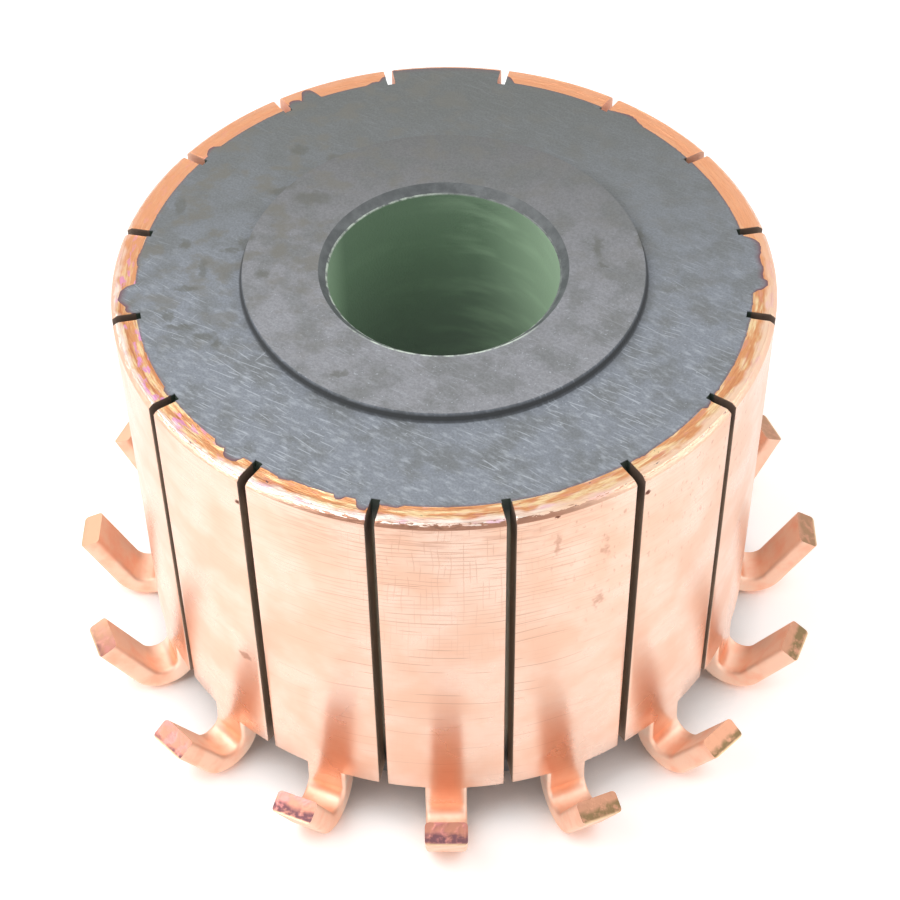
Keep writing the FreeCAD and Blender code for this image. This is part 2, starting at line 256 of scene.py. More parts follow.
@dataclass
class Surface:
    """A material under construction: its tree, its shader and the marks that finishes share."""

    name: str
    metallic: float
    patch_roughness: float = 0.55
    line_width: float = 0.045
    line_wander: float = 5.0
    line_wander_scale: float = 0.35
    mark_depth: float = 9.0
    mark_edge: Ramp = Ramp(1.2, 0.6)
    material: bpy.types.Material = field(init=False)
    shader: bpy.types.Node = field(init=False)
    output: bpy.types.Node = field(init=False)

    def __post_init__(self) -> None:
        """Start the material with a shader and its output."""
        self.material = bpy.data.materials.new(self.name)
        self.material.use_nodes = True
        self.material.node_tree.nodes.clear()
        shaded = self.add("BsdfPrincipled", {"Metallic": self.metallic})
        self.shader = shaded.node
        self.output = self.material.node_tree.nodes.new("ShaderNodeOutputMaterial")
        self.material.node_tree.links.new(shaded, self.output.inputs["Surface"])

    def add(self, kind: str, inputs: Inputs | None = None, output: int | str = 0, **settings: Any) -> Socket:
        """Add a node to this material, as add_node does."""
        return add_node(self.material.node_tree, kind, inputs, output, **settings)

    def place(self) -> Socket:
        """The point in the part's frame, in millimetres."""
        inputs = {0: self.add("TexCoord", output="Object"), "Scale": 1 / MM}
        return self.add("VectorMath", inputs, operation="SCALE")

    def bar_place(self) -> Socket:
        """The point on a bar, in millimetres: its place along the width, its height and its radius."""
        return self.add("Attribute", output="Vector", attribute_name="bar_place")

    def from_axis(self, place: Socket) -> Socket:
        """The distance from the part's axis, in millimetres."""
        level = self.add("VectorMath", {0: place, 1: (1.0, 1.0, 0.0)}, operation="MULTIPLY")
        return self.add("VectorMath", {0: level}, "Value", operation="LENGTH")

    def patches(self, place: Socket, patch: Patch) -> Socket:
        """Uneven patches with soft edges.

        Args:
            place: the point in millimetres.
            patch: the patches' sizes, edges and strength.

        Returns:
            The full value in a patch and 0 outside.
        """
        sizes = patch.size if isinstance(patch.size, tuple) else (patch.size,) * 3
        scale = tuple(1 / length if length else 0.0 for length in sizes)
        scaled = self.add("VectorMath", {0: place, 1: scale}, operation="MULTIPLY")
        rough = {"Vector": scaled, "Scale": 1.0, "Detail": patch.detail}
        rough["Roughness"] = self.patch_roughness
        edge = Ramp(patch.low, patch.high, high=patch.full)
        value = self.add("TexNoise", rough, "Fac")
        return self.add("MapRange", edge.of(value), interpolation_type="SMOOTHSTEP")

    def hairlines(self, place: Socket, hairs: Hairs) -> Socket:
        """Fine drawn lines that start and stop.

        Args:
            place: the point in millimetres.
            hairs: the lines' pitch, run, number, strength and direction.

        Returns:
            The full value on a line and 0 beside it.
        """
        # A wave texture repeats every 2 pi / 20 of its scaled length.
        inputs = {"Vector": place, "Scale": math.pi / 10 / hairs.pitch, "Detail": 1.0}
        inputs |= {"Distortion": self.line_wander, "Detail Scale": self.line_wander_scale}
        wave = self.add("TexWave", inputs, "Fac", bands_direction=hairs.across.value)
        edge = math.cos(math.pi * 0.5 * min(self.line_width / hairs.pitch, 1.0)) ** 2
        line = self.add("MapRange", Ramp(edge, 1.0, high=hairs.full).of(wave))
        wide = 1.3 * hairs.pitch
        sizes = (hairs.run, wide, 0.0) if hairs.across is Axis.Y else (wide, hairs.run, 0.0)
        return self.where_all(line, self.patches(place, Patch(sizes, hairs.cover, hairs.cover + 0.1, 1.0)))

    def marks(self, place: Socket, marks: Sequence[Mark], level: float, ragged: float) -> Socket:
        """Single marks with ragged outlines.

        Args:
            place: the point in millimetres.
            marks: the marks.
            level: where the marked surface lies on the third axis.
            ragged: how far an outline wanders, in millimetres.

        Returns:
            1 in a mark and 0 outside.
        """
        wander = self.add("TexNoise", {"Vector": place, "Scale": 0.5 / ragged, "Detail": 3.0}, "Color")
        wander = self.add("VectorMath", {0: wander, 1: (0.5, 0.5, 0.5)}, operation="SUBTRACT")
        inputs = {0: wander, 1: (4 * ragged,) * 3, 2: place}
        shaken = self.add("VectorMath", inputs, operation="MULTIPLY_ADD")
        found = []
        for mark in marks:
            off = self.add("VectorMath", {0: shaken, 1: (mark.x, mark.y, level)}, operation="SUBTRACT")
            half = (mark.half_x, mark.half_y, self.mark_depth)
            off = self.add("VectorMath", {0: off, 1: half}, operation="DIVIDE")
            away = self.add("VectorMath", {0: off}, "Value", operation="LENGTH")
            found.append(self.add("MapRange", self.mark_edge.of(away)))
        return self.where_any(*found)

    def where_all(self, *masks: Socket | float) -> Socket:
        """Where all of several masks meet.

        Args:
            masks: masks and shares.

        Returns:
            Their product, full only where each of them is.
        """
        product = masks[0]
        for mask in masks[1:]:
            product = self.add("Math", {0: product, 1: mask}, operation="MULTIPLY")
        return product

    def where_any(self, *masks: Socket) -> Socket:
        """Where any of several masks lies.

        Args:
            masks: the masks.

        Returns:
            The largest of them.
        """
        largest = masks[0]
        for mask in masks[1:]:
            largest = self.add("Math", {0: largest, 1: mask}, operation="MAXIMUM")
        return largest

    def layered(self, ground: Any, layers: Sequence[Layer]) -> Socket:
        """Lay colours over a ground, one after another.

        Args:
            ground: the colour underneath.
            layers: a mask and a colour for each layer.

        Returns:
            The colour with all layers.
        """
        colour = ground
        for mask, over in layers:
            colour = self.add("Mix", {0: mask, 6: colour, 7: over}, 2, data_type="RGBA")
        return colour

    def finish(self, colour: Any, roughness: Any, relief: Sequence[tuple[Socket, float]]) -> bpy.types.Material:
        """Connect the colour, the roughness and the relief.

        Args:
            colour: the base colour.
            roughness: the roughness.
            relief: heights from 0 to 1, each with its depth in millimetres.

        Returns:
            The finished material.
        """
        normal = None
        for height, depth in relief:
            below = {"Normal": normal} if normal else {}
            inputs = {"Height": height, "Distance": depth * MM, "Strength": 1.0}
            normal = self.add("Bump", inputs | below)
        for name, value in (("Base Color", colour), ("Roughness", roughness), ("Normal", normal)):
            if isinstance(value, Socket):
                self.material.node_tree.links.new(value, self.shader.inputs[name])
            else:
                self.shader.inputs[name].default_value = linear_colour(value) if isinstance(value, str) else value
        return self.material


@dataclass(frozen=True)
class TurnedCopper:
    """Electrolytic copper, turned on a lathe.

    The tool leaves fine rings, which stretch highlights along the bar, and handling has left a cross
    hatch of hairlines near the top of the front bars. The real rings are too fine to show, so they
    are drawn 0.2 mm apart. The metal is pale where it is freshly cut.
    """

    fresh: str = "#F7D6C3"
    salmon: str = "#F2C7AE"
    line: str = "#C99A82"
    scab: str = "#BE8A74"
    stain: str = "#B5836A"
    nick: str = "#6E4030"
    roughness: Ramp = Ramp(low=0.27, high=0.34)
    stretch: float = 0.5
    stretch_turn: float = 0.25
    blotches: Patch = Patch(2.2, 0.36, 0.68, 3.0)
    clouds: Patch = Patch((0.6, 0.4, 0.0), 0.45, 0.75, 3.0, 0.35)
    smears: Patch = Patch((1.2, 0.22, 0.0), 0.42, 0.72, 4.0, 0.6)
    crumbs: Patch = Patch(0.35, 0.34, 0.56, 2.0, 0.55)
    specks: Patch = Patch((0.16, 0.42, 0.0), 0.6, 0.7, 3.0, 0.5)
    lathe: Patch = Patch((7.0, 0.3, 0.0), 0.3, 0.7, 1.0)
    lathe_depth: float = 0.0006
    rings: Hairs = Hairs(0.2, 1.8, 0.42, 0.7)
    strokes: Hairs = Hairs(0.2, 1.4, 0.47, 0.42, Axis.X)
    scores: Hairs = Hairs(0.45, 2.6, 0.5, 0.85)
    hatched_height: Ramp = Ramp(9.0, 15.0, low=0.1)
    scored_height: Ramp = Ramp(4.0, 9.0, low=0.35)
    smeared_height: Ramp = Ramp(SIZES.face_height - 2.6, SIZES.face_height - 0.4)
    front_bars: Ramp = Ramp(-9.9, -11.1, low=0.22)
    first_bar: Ramp = Ramp(-10.9, -11.25, low=0.1)
    right_bars: Ramp = Ramp(2.4, 4.5)
    nicks: tuple[Mark, ...] = (
        Mark(58.05, 16.05, 0.12, 0.11),
        Mark(302.0, 15.64, 0.1, 0.1),
        Mark(39.25, 16.6, 0.1, 0.07),
    )
    nick_depth: float = 0.01
    stains: tuple[Mark, ...] = (Mark(301.45, 7.08, 0.28, 0.2),)
    stain_share: float = 0.7
    scabs: tuple[Mark, ...] = (
        Mark(40.97, 14.25, 0.16, 0.7),
        Mark(40.83, 11.64, 0.2, 0.5),
        Mark(39.3, 15.2, 0.12, 0.5),
    )

    def build(self) -> bpy.types.Material:
        """Make the material of the brush track.

        Returns:
            The finished material.
        """
        s = Surface("turned_copper", 1.0)
        place = s.bar_place()
        height = s.add("SeparateXYZ", {0: place}, 1)
        x, y = (s.add("SeparateXYZ", {0: s.place()}, axis) for axis in (0, 1))
        high = s.add("MapRange", self.hatched_height.of(height))
        front = s.add("MapRange", self.front_bars.of(y))
        blotch = s.patches(place, self.blotches)
        strokes = s.where_all(s.hairlines(place, self.strokes), s.add("MapRange", self.first_bar.of(y)))
        hatch = s.where_all(s.where_any(s.hairlines(place, self.rings), strokes), high, front)
        scored = s.add("MapRange", self.scored_height.of(height))
        scores = s.where_all(s.hairlines(place, self.scores), front, scored)
        near_top = s.add("MapRange", self.smeared_height.of(height))
        right = s.add("MapRange", self.right_bars.of(x))
        scabs = s.marks(place, self.scabs, SIZES.bar_radius, ragged=0.12)
        stains = s.marks(place, self.stains, SIZES.bar_radius, ragged=0.1)
        nicks = s.marks(place, self.nicks, SIZES.bar_radius, ragged=0.04)
        layers = [
            (blotch, self.salmon),
            (s.patches(place, self.clouds), self.salmon),
            (s.where_all(s.patches(place, self.smears), near_top, front), self.line),
            (s.where_any(hatch, scores), self.line),
            (s.where_all(scabs, s.patches(place, self.crumbs)), self.scab),
            (s.where_all(s.patches(place, self.specks), right, high), self.scab),
            (s.where_all(stains, self.stain_share), self.stain),
            (nicks, self.nick),
        ]
        s.shader.inputs["Anisotropic"].default_value = self.stretch
        s.shader.inputs["Anisotropic Rotation"].default_value = self.stretch_turn
        tangent = s.add("Tangent", direction_type="RADIAL", axis="Z")
        s.material.node_tree.links.new(tangent, s.shader.inputs["Tangent"])
        relief = [(s.patches(place, self.lathe), self.lathe_depth), (nicks, -self.nick_depth)]
        return s.finish(s.layered(self.fresh, layers), s.add("MapRange", self.roughness.of(blotch)), relief)


@dataclass(frozen=True)
class SawnCopper:
    """Copper in a saw slot: browned, dusty with moulding and dark at the mouth, with painted light at the rear."""

    dark: str = "#AA9683"
    warm: str = "#C6AA92"
    mouth: str = "#65534A"
    # Painted light: the rear slots' walls are painted pale.
    rear: str = "#F2BFA4"
    metallic: float = 0.4
    roughness: float = 0.55
    grain: Patch = Patch((0.2, 1.6, 0.2), 0.35, 0.7, 3.0)
    grain_depth: float = 0.004
    mouth_height: Ramp = Ramp(14.6, 16.2, high=0.8)
    mouth_radius: Ramp = Ramp(10.9, 11.35, high=0.45)
    lit_rear_slots: Ramp = Ramp(3.5, 7.0)

    def build(self) -> bpy.types.Material:
        """Make the material of the slot walls.

        Returns:
            The finished material.
        """
        s = Surface("sawn_copper", self.metallic)
        place = s.bar_place()
        grain = s.patches(place, self.grain)
        y = s.add("SeparateXYZ", {0: s.place()}, 1)
        height, radius = (s.add("SeparateXYZ", {0: place}, axis) for axis in (1, 2))
        upper = s.add("MapRange", self.mouth_height.of(height))
        at_mouth = s.where_any(upper, s.add("MapRange", self.mouth_radius.of(radius)))
        # Painted light on the rear slots' walls.
        behind = s.add("MapRange", self.lit_rear_slots.of(y))
        layers = [(grain, self.warm), (at_mouth, self.mouth), (behind, self.rear)]
        return s.finish(s.layered(self.dark, layers), self.roughness, [(grain, self.grain_depth)])


@dataclass(frozen=True)
class CutCopper:
    """The faced top ends of the bars.

    The facing tool has smeared and heated the copper: orange and straw in blotches with rust seams
    next to the moulding, pale with pink and lilac tints outside, peach at the right and plain orange
    at the rear. The pale outer band is partly a painted highlight, which the rear bars lack. Its edge
    is a narrow chamfer, pale, with a painted dark reflection at the front.
    """

    # The outer band's pale colour is partly a painted highlight.
    pale: str = "#FFF4E8"
    pink: str = "#F9DFCF"
    peach: str = "#F3CBA9"
    lilac: str = "#E79FCB"
    straw: str = "#FADFAE"
    orange: str = "#E3A474"
    rust: str = "#BE7550"
    rear: str = "#F1AD83"
    chamfer: str = "#F6CDB3"
    # Painted dark reflection on the chamfer at the front.
    reflected_brown: str = "#A97660"
    dirt: str = "#5C525C"
    roughness: Ramp = Ramp(low=0.28, high=0.5)
    streaks: Patch = Patch((0.3, 0.3, 0.05), 0.35, 0.65, 3.0)
    streak_share: float = 0.3
    streak_depth: float = 0.006
    straws: Patch = Patch((1.1, 1.1, 0.16), 0.46, 0.64)
    straw_depth: float = 0.006
    seams: Patch = Patch((1.6, 1.6, 0.07), 0.54, 0.66, full=0.7)
    seam_depth: float = 0.005
    seam_share: float = 0.5
    lilacs: Patch = Patch((0.8, 0.8, 0.25), 0.53, 0.62, 3.0)
    pinks: Patch = Patch((0.9, 0.9, 0.12), 0.42, 0.66)
    violets: Patch = Patch((1.0, 1.0, 0.3), 0.54, 0.66, 3.0, 0.5)
    crumbs: Patch = Patch((0.4, 0.4, 0.16), 0.66, 0.71, 3.0, 0.85)
    left: Ramp = Ramp(-6.0, -9.0, low=0.12)
    right: Ramp = Ramp(2.0, 4.0, high=0.8)
    plain: Ramp = Ramp(low=1.0, high=0.3)
    rear_bars: Ramp = Ramp(-1.5, 3.0, high=0.9)
    dirty_bars: Ramp = Ramp(-4.0, -7.0)
    band_edge: Ramp = Ramp(SIZES.seat_radius + 0.37, SIZES.seat_radius + 0.52)
    band_wander: Ramp = Ramp(low=-0.3, high=0.3)
    band_wander_scale: float = 1.3
    band_shift: float = 0.14
    rim_edge: Ramp = Ramp(low=SIZES.rim - 0.02, high=SIZES.rim + 0.08)
    # The painted dark reflection also runs along the chamfer's inner edge at the front.
    rim_inside: Ramp = Ramp(SIZES.rim + 0.06, SIZES.rim + 0.02, high=0.7)
    rim_inside_bars: Ramp = Ramp(-4.0, -8.0)
    dark_reflection_bars: Ramp = Ramp(-9.8, -10.8, high=0.85)

    def build(self) -> bpy.types.Material:
        """Make the material of the bars' top ends.

        Returns:
            The finished material.
        """
        s = Surface("cut_copper", 1.0)
        place = s.bar_place()
        x, y = (s.add("SeparateXYZ", {0: s.place()}, axis) for axis in (0, 1))
        streak = s.patches(place, self.streaks)
        straw = s.patches(place, self.straws)
        left = s.add("MapRange", self.left.of(x))
        right = s.add("MapRange", self.right.of(x))
        plain = s.add("MapRange", self.plain.of(right))
        seams = s.where_all(s.patches(place, self.seams), plain)
        inner = [
            (straw, self.straw),
            (s.where_all(streak, self.streak_share), self.rust),
            (seams, self.rust),
            (s.where_all(s.patches(place, self.lilacs), left), self.lilac),
        ]
        outer = [
            (s.patches(place, self.pinks), self.pink),
            (right, self.peach),
            (s.where_all(s.patches(place, self.violets), plain), self.lilac),
            (s.where_all(seams, self.seam_share), self.rust),
        ]
        layers = [
            # The pale outer band is partly a painted highlight; the rear bars are plain orange.
            (self.outside(s, place, left), s.layered(self.pale, outer)),
            (s.add("MapRange", self.rear_bars.of(y)), self.rear),
            (s.where_all(s.patches(place, self.crumbs), s.add("MapRange", self.dirty_bars.of(y))), self.dirt),
            self.edge(s, place, y, streak),
        ]
        roughness = s.add("MapRange", self.roughness.of(streak))
        relief = [(straw, self.straw_depth), (streak, self.streak_depth), (seams, -self.seam_depth)]
        return s.finish(s.layered(self.orange, inner + layers), roughness, relief)

    def outside(self, s: Surface, place: Socket, left: Socket) -> Socket:
        """The pale outer band, partly a painted highlight, whose inner edge wanders, and lies further out on the
        left.

        Args:
            s: the material under construction.
            place: the point on a bar in millimetres.
            left: 1 on the left.

        Returns:
            1 in the band and 0 inside it.
        """
        radius = s.add("SeparateXYZ", {0: place}, 2)
        wander = s.add("TexNoise", {"Vector": place, "Scale": self.band_wander_scale, "Detail": 2.0}, "Fac")
        waved = s.add("Math", {0: radius, 1: s.add("MapRange", self.band_wander.of(wander))}, operation="ADD")
        waved = s.add("Math", {0: left, 1: -self.band_shift, 2: waved}, operation="MULTIPLY_ADD")
        return s.add("MapRange", self.band_edge.of(waved))

    def edge(self, s: Surface, place: Socket, y: Socket, streak: Socket) -> Layer:
        """The chamfer along the outer edge, with a painted dark reflection at the front.

        Args:
            s: the material under construction.
            place: the point on a bar in millimetres.
            y: the distance behind the axis.
            streak: the streaks, which make the edge ragged.

        Returns:
            The chamfer's mask and its colour.
        """
        radius = s.add("SeparateXYZ", {0: place}, 2)
        ragged = s.add("MapRange", self.rim_edge.of(streak))
        on_rim = s.add("Math", {0: radius, 1: ragged}, operation="GREATER_THAN")
        inside = s.add("MapRange", self.rim_inside.of(radius))
        inside = s.where_all(inside, s.add("MapRange", self.rim_inside_bars.of(y)))
        # The front bars' chamfer carries a painted dark reflection.
        dark_reflection = s.where_any(s.add("MapRange", self.dark_reflection_bars.of(y)), inside)
        return on_rim, s.layered(self.chamfer, [(dark_reflection, self.reflected_brown)])


@dataclass(frozen=True)
class RolledCopper:
    """Copper strip, rolled and then bent into the hooks: satin, with faint stains, smoother on the tangs.

    Its real grain is finer than the render shows, so it is drawn 0.08 mm wide.
    """

    bright: str = "#FEDCC6"
    dull: str = "#FDCDB2"
    stains: Patch = Patch(0.9, 0.4, 0.7, 3.0)
    stain_roughness: float = 0.05
    grain: Patch = Patch(0.08, 0.3, 0.7)
    grain_depth: float = 0.0004
    roughness: Ramp = Ramp(SIZES.bar_radius, SIZES.bar_radius + 0.45, 0.32, 0.68)

    def build(self) -> bpy.types.Material:
        """Make the material of the tangs and hooks.

        Returns:
            The finished material.
        """
        s = Surface("rolled_copper", 1.0)
        place = s.place()
        stain = s.patches(place, self.stains)
        outward = self.roughness.of(s.from_axis(place))
        roughness = s.add("MapRange", outward, interpolation_type="SMOOTHSTEP")
        inputs = {0: stain, 1: self.stain_roughness, 2: roughness}
        roughness = s.add("Math", inputs, operation="MULTIPLY_ADD")
        relief = [(s.patches(place, self.grain), self.grain_depth)]
        return s.finish(s.layered(self.bright, [(stain, self.dull)]), roughness, relief)


@dataclass(frozen=True)
class ShearedCopper:
    """The hooks' sheared ends: a burnished land, then a torn and darkened break, then a bright lip.

    The break is purple on the left and olive on the right, and faint at the rear. Its place is a
    share of the thickness, from 0 on the side towards the bars to 1 on the far side. The lip's pale
    colour is a painted highlight on its rounded edge, and the pale ends at the left rear are a
    painted reflection.
    """

    land: str = "#C48772"
    blush: str = "#D28A86"
    # Painted reflection: the ends at the left rear are painted pale.
    rear: str = "#FFCFAA"
    tan: str = "#CB967A"
    torn: str = "#7E5A62"
    olive: str = "#927C5A"
    # A painted highlight on the rounded far edge of the ends.
    lip: str = "#E8C8A2"
    roughness: Ramp = Ramp(low=0.4, high=0.6)
    blushes: Patch = Patch(0.5, 0.42, 0.62, 3.0, 0.8)
    blush_depth: float = 0.003
    crumbs: Patch = Patch(0.25, 0.7, 0.44, 3.0)
    crumb_depth: float = 0.004
    break_start: Ramp = Ramp(0.4, 0.62)
    break_end: Ramp = Ramp(0.97, 0.88)
    lip_highlight_start: Ramp = Ramp(0.88, 0.97)
    front_hooks: Ramp = Ramp(2.0, -4.0, 0.3, 0.95)
    right_hooks: Ramp = Ramp(1.5, 5.0)
    rear_hooks: Ramp = Ramp(-6.0, -3.5)
    left_hooks: Ramp = Ramp(-2.0, -6.0)
    left_rear_break: Ramp = Ramp(low=1.0, high=0.15)
    wander: Ramp = Ramp(low=-0.25, high=0.25)
    wander_scale: float = 2.2
    earlier: Ramp = Ramp(-8.0, -2.0, high=0.5)
    later: Ramp = Ramp(6.5, 9.0, high=0.3)
    later_right: Ramp = Ramp(low=1.0, high=0.35)

    def build(self) -> bpy.types.Material:
        """Make the material of the hooks' end faces.

        Returns:
            The finished material.
        """
        s = Surface("sheared_copper", 1.0)
        place = s.place()
        x, y = (s.add("SeparateXYZ", {0: place}, axis) for axis in (0, 1))
        depth = s.add("Attribute", output="Fac", attribute_name="shear")
        right = s.add("MapRange", self.right_hooks.of(x))
        rear, left = s.add("MapRange", self.rear_hooks.of(y)), s.add("MapRange", self.left_hooks.of(x))
        # Painted reflection at the left rear: the ends are pale and their break is faint.
        mirroring_left_rear = s.where_all(rear, left)
        crumbs = s.patches(place, self.crumbs)
        broken = s.where_all(
            s.add("MapRange", self.break_start.of(self.waved(s, place, depth, right))),
            s.add("MapRange", self.break_end.of(depth)),
            crumbs,
            s.add("MapRange", self.front_hooks.of(y)),
            s.add("MapRange", self.left_rear_break.of(mirroring_left_rear)),
        )
        blush = s.patches(place, self.blushes)
        layers = [
            (blush, self.blush),
            (right, self.tan),
            (mirroring_left_rear, self.rear),
            (s.add("MapRange", self.lip_highlight_start.of(depth)), self.lip),
            (broken, s.layered(self.torn, [(right, self.olive)])),
        ]
        relief = [(crumbs, -self.crumb_depth), (blush, self.blush_depth)]
        return s.finish(s.layered(self.land, layers), s.add("MapRange", self.roughness.of(broken)), relief)

    def waved(self, s: Surface, place: Socket, depth: Socket, right: Socket) -> Socket:
        """The share of the thickness, shifted so that the break starts unevenly and differs by hook.

        It starts earlier on the hooks at the right rear, and later on those at the sides.

        Args:
            s: the material under construction.
            place: the point in millimetres.
            depth: the share of the hook's thickness.
            right: 1 on the right.

        Returns:
            The shifted share.
        """
        x, y = (s.add("SeparateXYZ", {0: place}, axis) for axis in (0, 1))
        wander = s.add("TexNoise", {"Vector": place, "Scale": self.wander_scale, "Detail": 3.0}, "Fac")
        waved = s.add("Math", {0: depth, 1: s.add("MapRange", self.wander.of(wander))}, operation="ADD")
        inputs = {0: right, 1: s.add("MapRange", self.earlier.of(y)), 2: waved}
        waved = s.add("Math", inputs, operation="MULTIPLY_ADD")
        aside = s.add("MapRange", self.later.of(s.add("Math", {0: x}, operation="ABSOLUTE")))
        aside = s.where_all(aside, s.add("MapRange", self.later_right.of(right)))
        return s.add("Math", {0: waved, 1: aside}, operation="SUBTRACT")


@dataclass(frozen=True)
class MouldedPhenolic:
    """Mineral and glass filled phenolic, compression moulded.

    The ground face is a matt blue grey. It is scuffed pale with fine scratches at the front and is
    stained a darker olive at the rear and the left, and the face and the raised ring carry painted
    shade towards the rear. The collar below the bars' feet is darker, partly for its skin, which is
    not ground, and partly for painted shade under the bars, and the resin shows green where the bore
    is reamed and the slots are sawn through the skin. Real scratches are some hundredths of a
    millimetre wide, about as fine as the render shows.
    """

    skin: str = "#858B94"
    # Painted shade towards the rear of the face; the same colour also makes random darker clouds.
    rear: str = "#686B69"
    # The collar below the feet: darker for its skin, which is not ground, and for painted shade under the bars.
    unground_and_shaded: str = "#55585A"
    ring: str = "#8F9095"
    # Painted shade on the raised ring towards the rear.
    ring_rear_shade: str = "#5B5B58"
    scratch: str = "#CBD2DB"
    stain: str = "#56574F"
    tint: str = "#6D6B63"
    # Painted shade along the foot of the raised ring; the same colour also darkens the grain.
    foot: str = "#37393B"
    mouth: str = "#505456"
    mouth_worn: str = "#666A6C"
    # Painted shade on the slots' floors near the bars' feet.
    slot_foot_shade: str = "#1F1D1A"
    lit_green: str = "#C0DDBD"
    green: str = "#7C967D"
    deep_green: str = "#8B958E"
    # Painted highlight along the bore's lip and the front of the chamfer's outer edge.
    highlight_green: str = "#D5E2D3"
    saw_green: str = "#3F4D42"
    saw_dust: str = "#DAD2C0"
    # Painted shadow along the raised edge of the moulding's flash.
    edge_shadow: str = "#6E4A52"
    ior: float = 1.6
    roughness: Ramp = Ramp(low=0.5, high=0.36)
    grain: Patch = Patch(0.08, 0.3, 0.7)
    grain_share: float = 0.25
    grain_depth: float = 0.004
    clouds: Patch = Patch(1.3, 0.42, 0.64, 5.0, 0.6)
    shade_rearward: Ramp = Ramp(-2.0, 9.0)
    forward: Ramp = Ramp(3.0, -5.0, low=0.12)
    ring_share: Ramp = Ramp(low=1.0, high=0.35)
    scratches: tuple[tuple[float, Hairs], ...] = (
        (0.5, Hairs(0.2, 0.7)),
        (0.72, Hairs(0.3, 1.0, 0.54)),
        (-0.9, Hairs(0.5, 1.6, 0.62)),
    )
    scratched: Patch = Patch(2.2, 0.4, 0.58)
    scratch_share: float = 0.5
    scuff_turn: float = 0.6
    scuffs: Patch = Patch((0.45, 0.16, 1.0), 0.46, 0.8, 6.0, 0.4)
    flecks: Patch = Patch(0.1, 0.7, 0.76, 1.0, 0.4)
    smears: Patch = Patch((1.0, 0.8, 1.0), 0.47, 0.66, 4.0, 0.8)
    smeared_side: Ramp = Ramp(4.0, -6.0, low=0.3)
    smeared_rear: Ramp = Ramp(-6.0, 1.0, low=0.1)
    stain_share: float = 0.6
    foot_inset: float = 0.3
    wall_depth: float = 0.03
    floor_depth: float = 0.02
    face_depth: float = 0.03
    ring_side: Ramp = Ramp(SIZES.ring_radius + 0.15, SIZES.ring_radius + 0.08)
    below_top: Ramp = Ramp(SIZES.core_top - TOUCH, SIZES.core_top - 0.13)
    wear: Patch = Patch(0.5, 0.35, 0.7, 3.0)
    lit_left: Ramp = Ramp(-3.5, -4.0, high=0.6)
    lit_right: Ramp = Ramp(1.2, 4.0, high=0.8)
    wisps: Patch = Patch((3.0, 3.0, 0.8), 0.46, 0.74, 3.0, 0.5)
    wisp_side: Ramp = Ramp(-1.0, 2.0, low=0.15)
    sunk: Ramp = Ramp(14.5, 8.0, high=0.8)
    # Where the painted highlights along the bore's lip and chamfer lie, and how they break up.
    highlight_beads: Patch = Patch(0.3, 0.3, 0.6, full=0.8)
    highlight_breadth: Ramp = Ramp(2.5, -1.0, 0.04, 0.07)
    highlight_left: Ramp = Ramp(0.5, -1.5, low=0.2)
    highlight_front: Ramp = Ramp(-1.5, -2.8)
    chamfer_highlight_breadth: float = 0.05
    chamfer_highlight_front: Ramp = Ramp(-2.8, -3.6)
    dusty: Ramp = Ramp(SIZES.face_height - 0.5, SIZES.face_height - 1.5)
    # Where the painted shade in the slots starts, near the bars' feet.
    low_shade: Ramp = Ramp(SIZES.foot + 2.0, SIZES.foot + 0.5)
    stains: tuple[Mark, ...] = (
        Mark(-9.37, 3.48, 0.2, 0.5),
        Mark(-8.8, -0.72, 0.45, 0.12),
        Mark(-8.3, 0.2, 0.16, 0.5),
        Mark(-9.3, -2.1, 0.24, 0.24),
        Mark(-8.85, -2.6, 0.5, 0.16),
        Mark(-8.0, -3.05, 0.42, 0.2),
        Mark(-7.55, -3.35, 0.14, 0.3),
        Mark(-7.4, 1.2, 0.4, 0.14),
        Mark(-6.9, 1.5, 0.3, 0.35),
        Mark(-9.0, 1.5, 0.2, 0.3),
        Mark(-5.8, 4.2, 0.5, 0.3),
        Mark(-4.7, 3.5, 0.7, 0.35),
        Mark(-5.3, 6.5, 0.35, 0.25),
        Mark(-3.98, 5.93, 0.3, 0.3),
        Mark(-6.2, -0.4, 0.25, 0.25),
        Mark(-3.34, -5.13, 0.25, 0.2),
        Mark(5.3, 0.95, 0.18, 0.55),
        Mark(5.4, 0.0, 0.2, 0.1),
        Mark(6.8, 1.6, 0.14, 0.8),
    )

    def build(self) -> bpy.types.Material:
        """Make the material of the core and its flash.

        Returns:
            The finished material.
        """
        s = Surface("moulded_phenolic", 0.0)
        place = s.place()
        x, y, height = (s.add("SeparateXYZ", {0: place}, axis) for axis in range(3))
        radius = s.from_axis(place)
        grain = s.patches(place, self.grain)
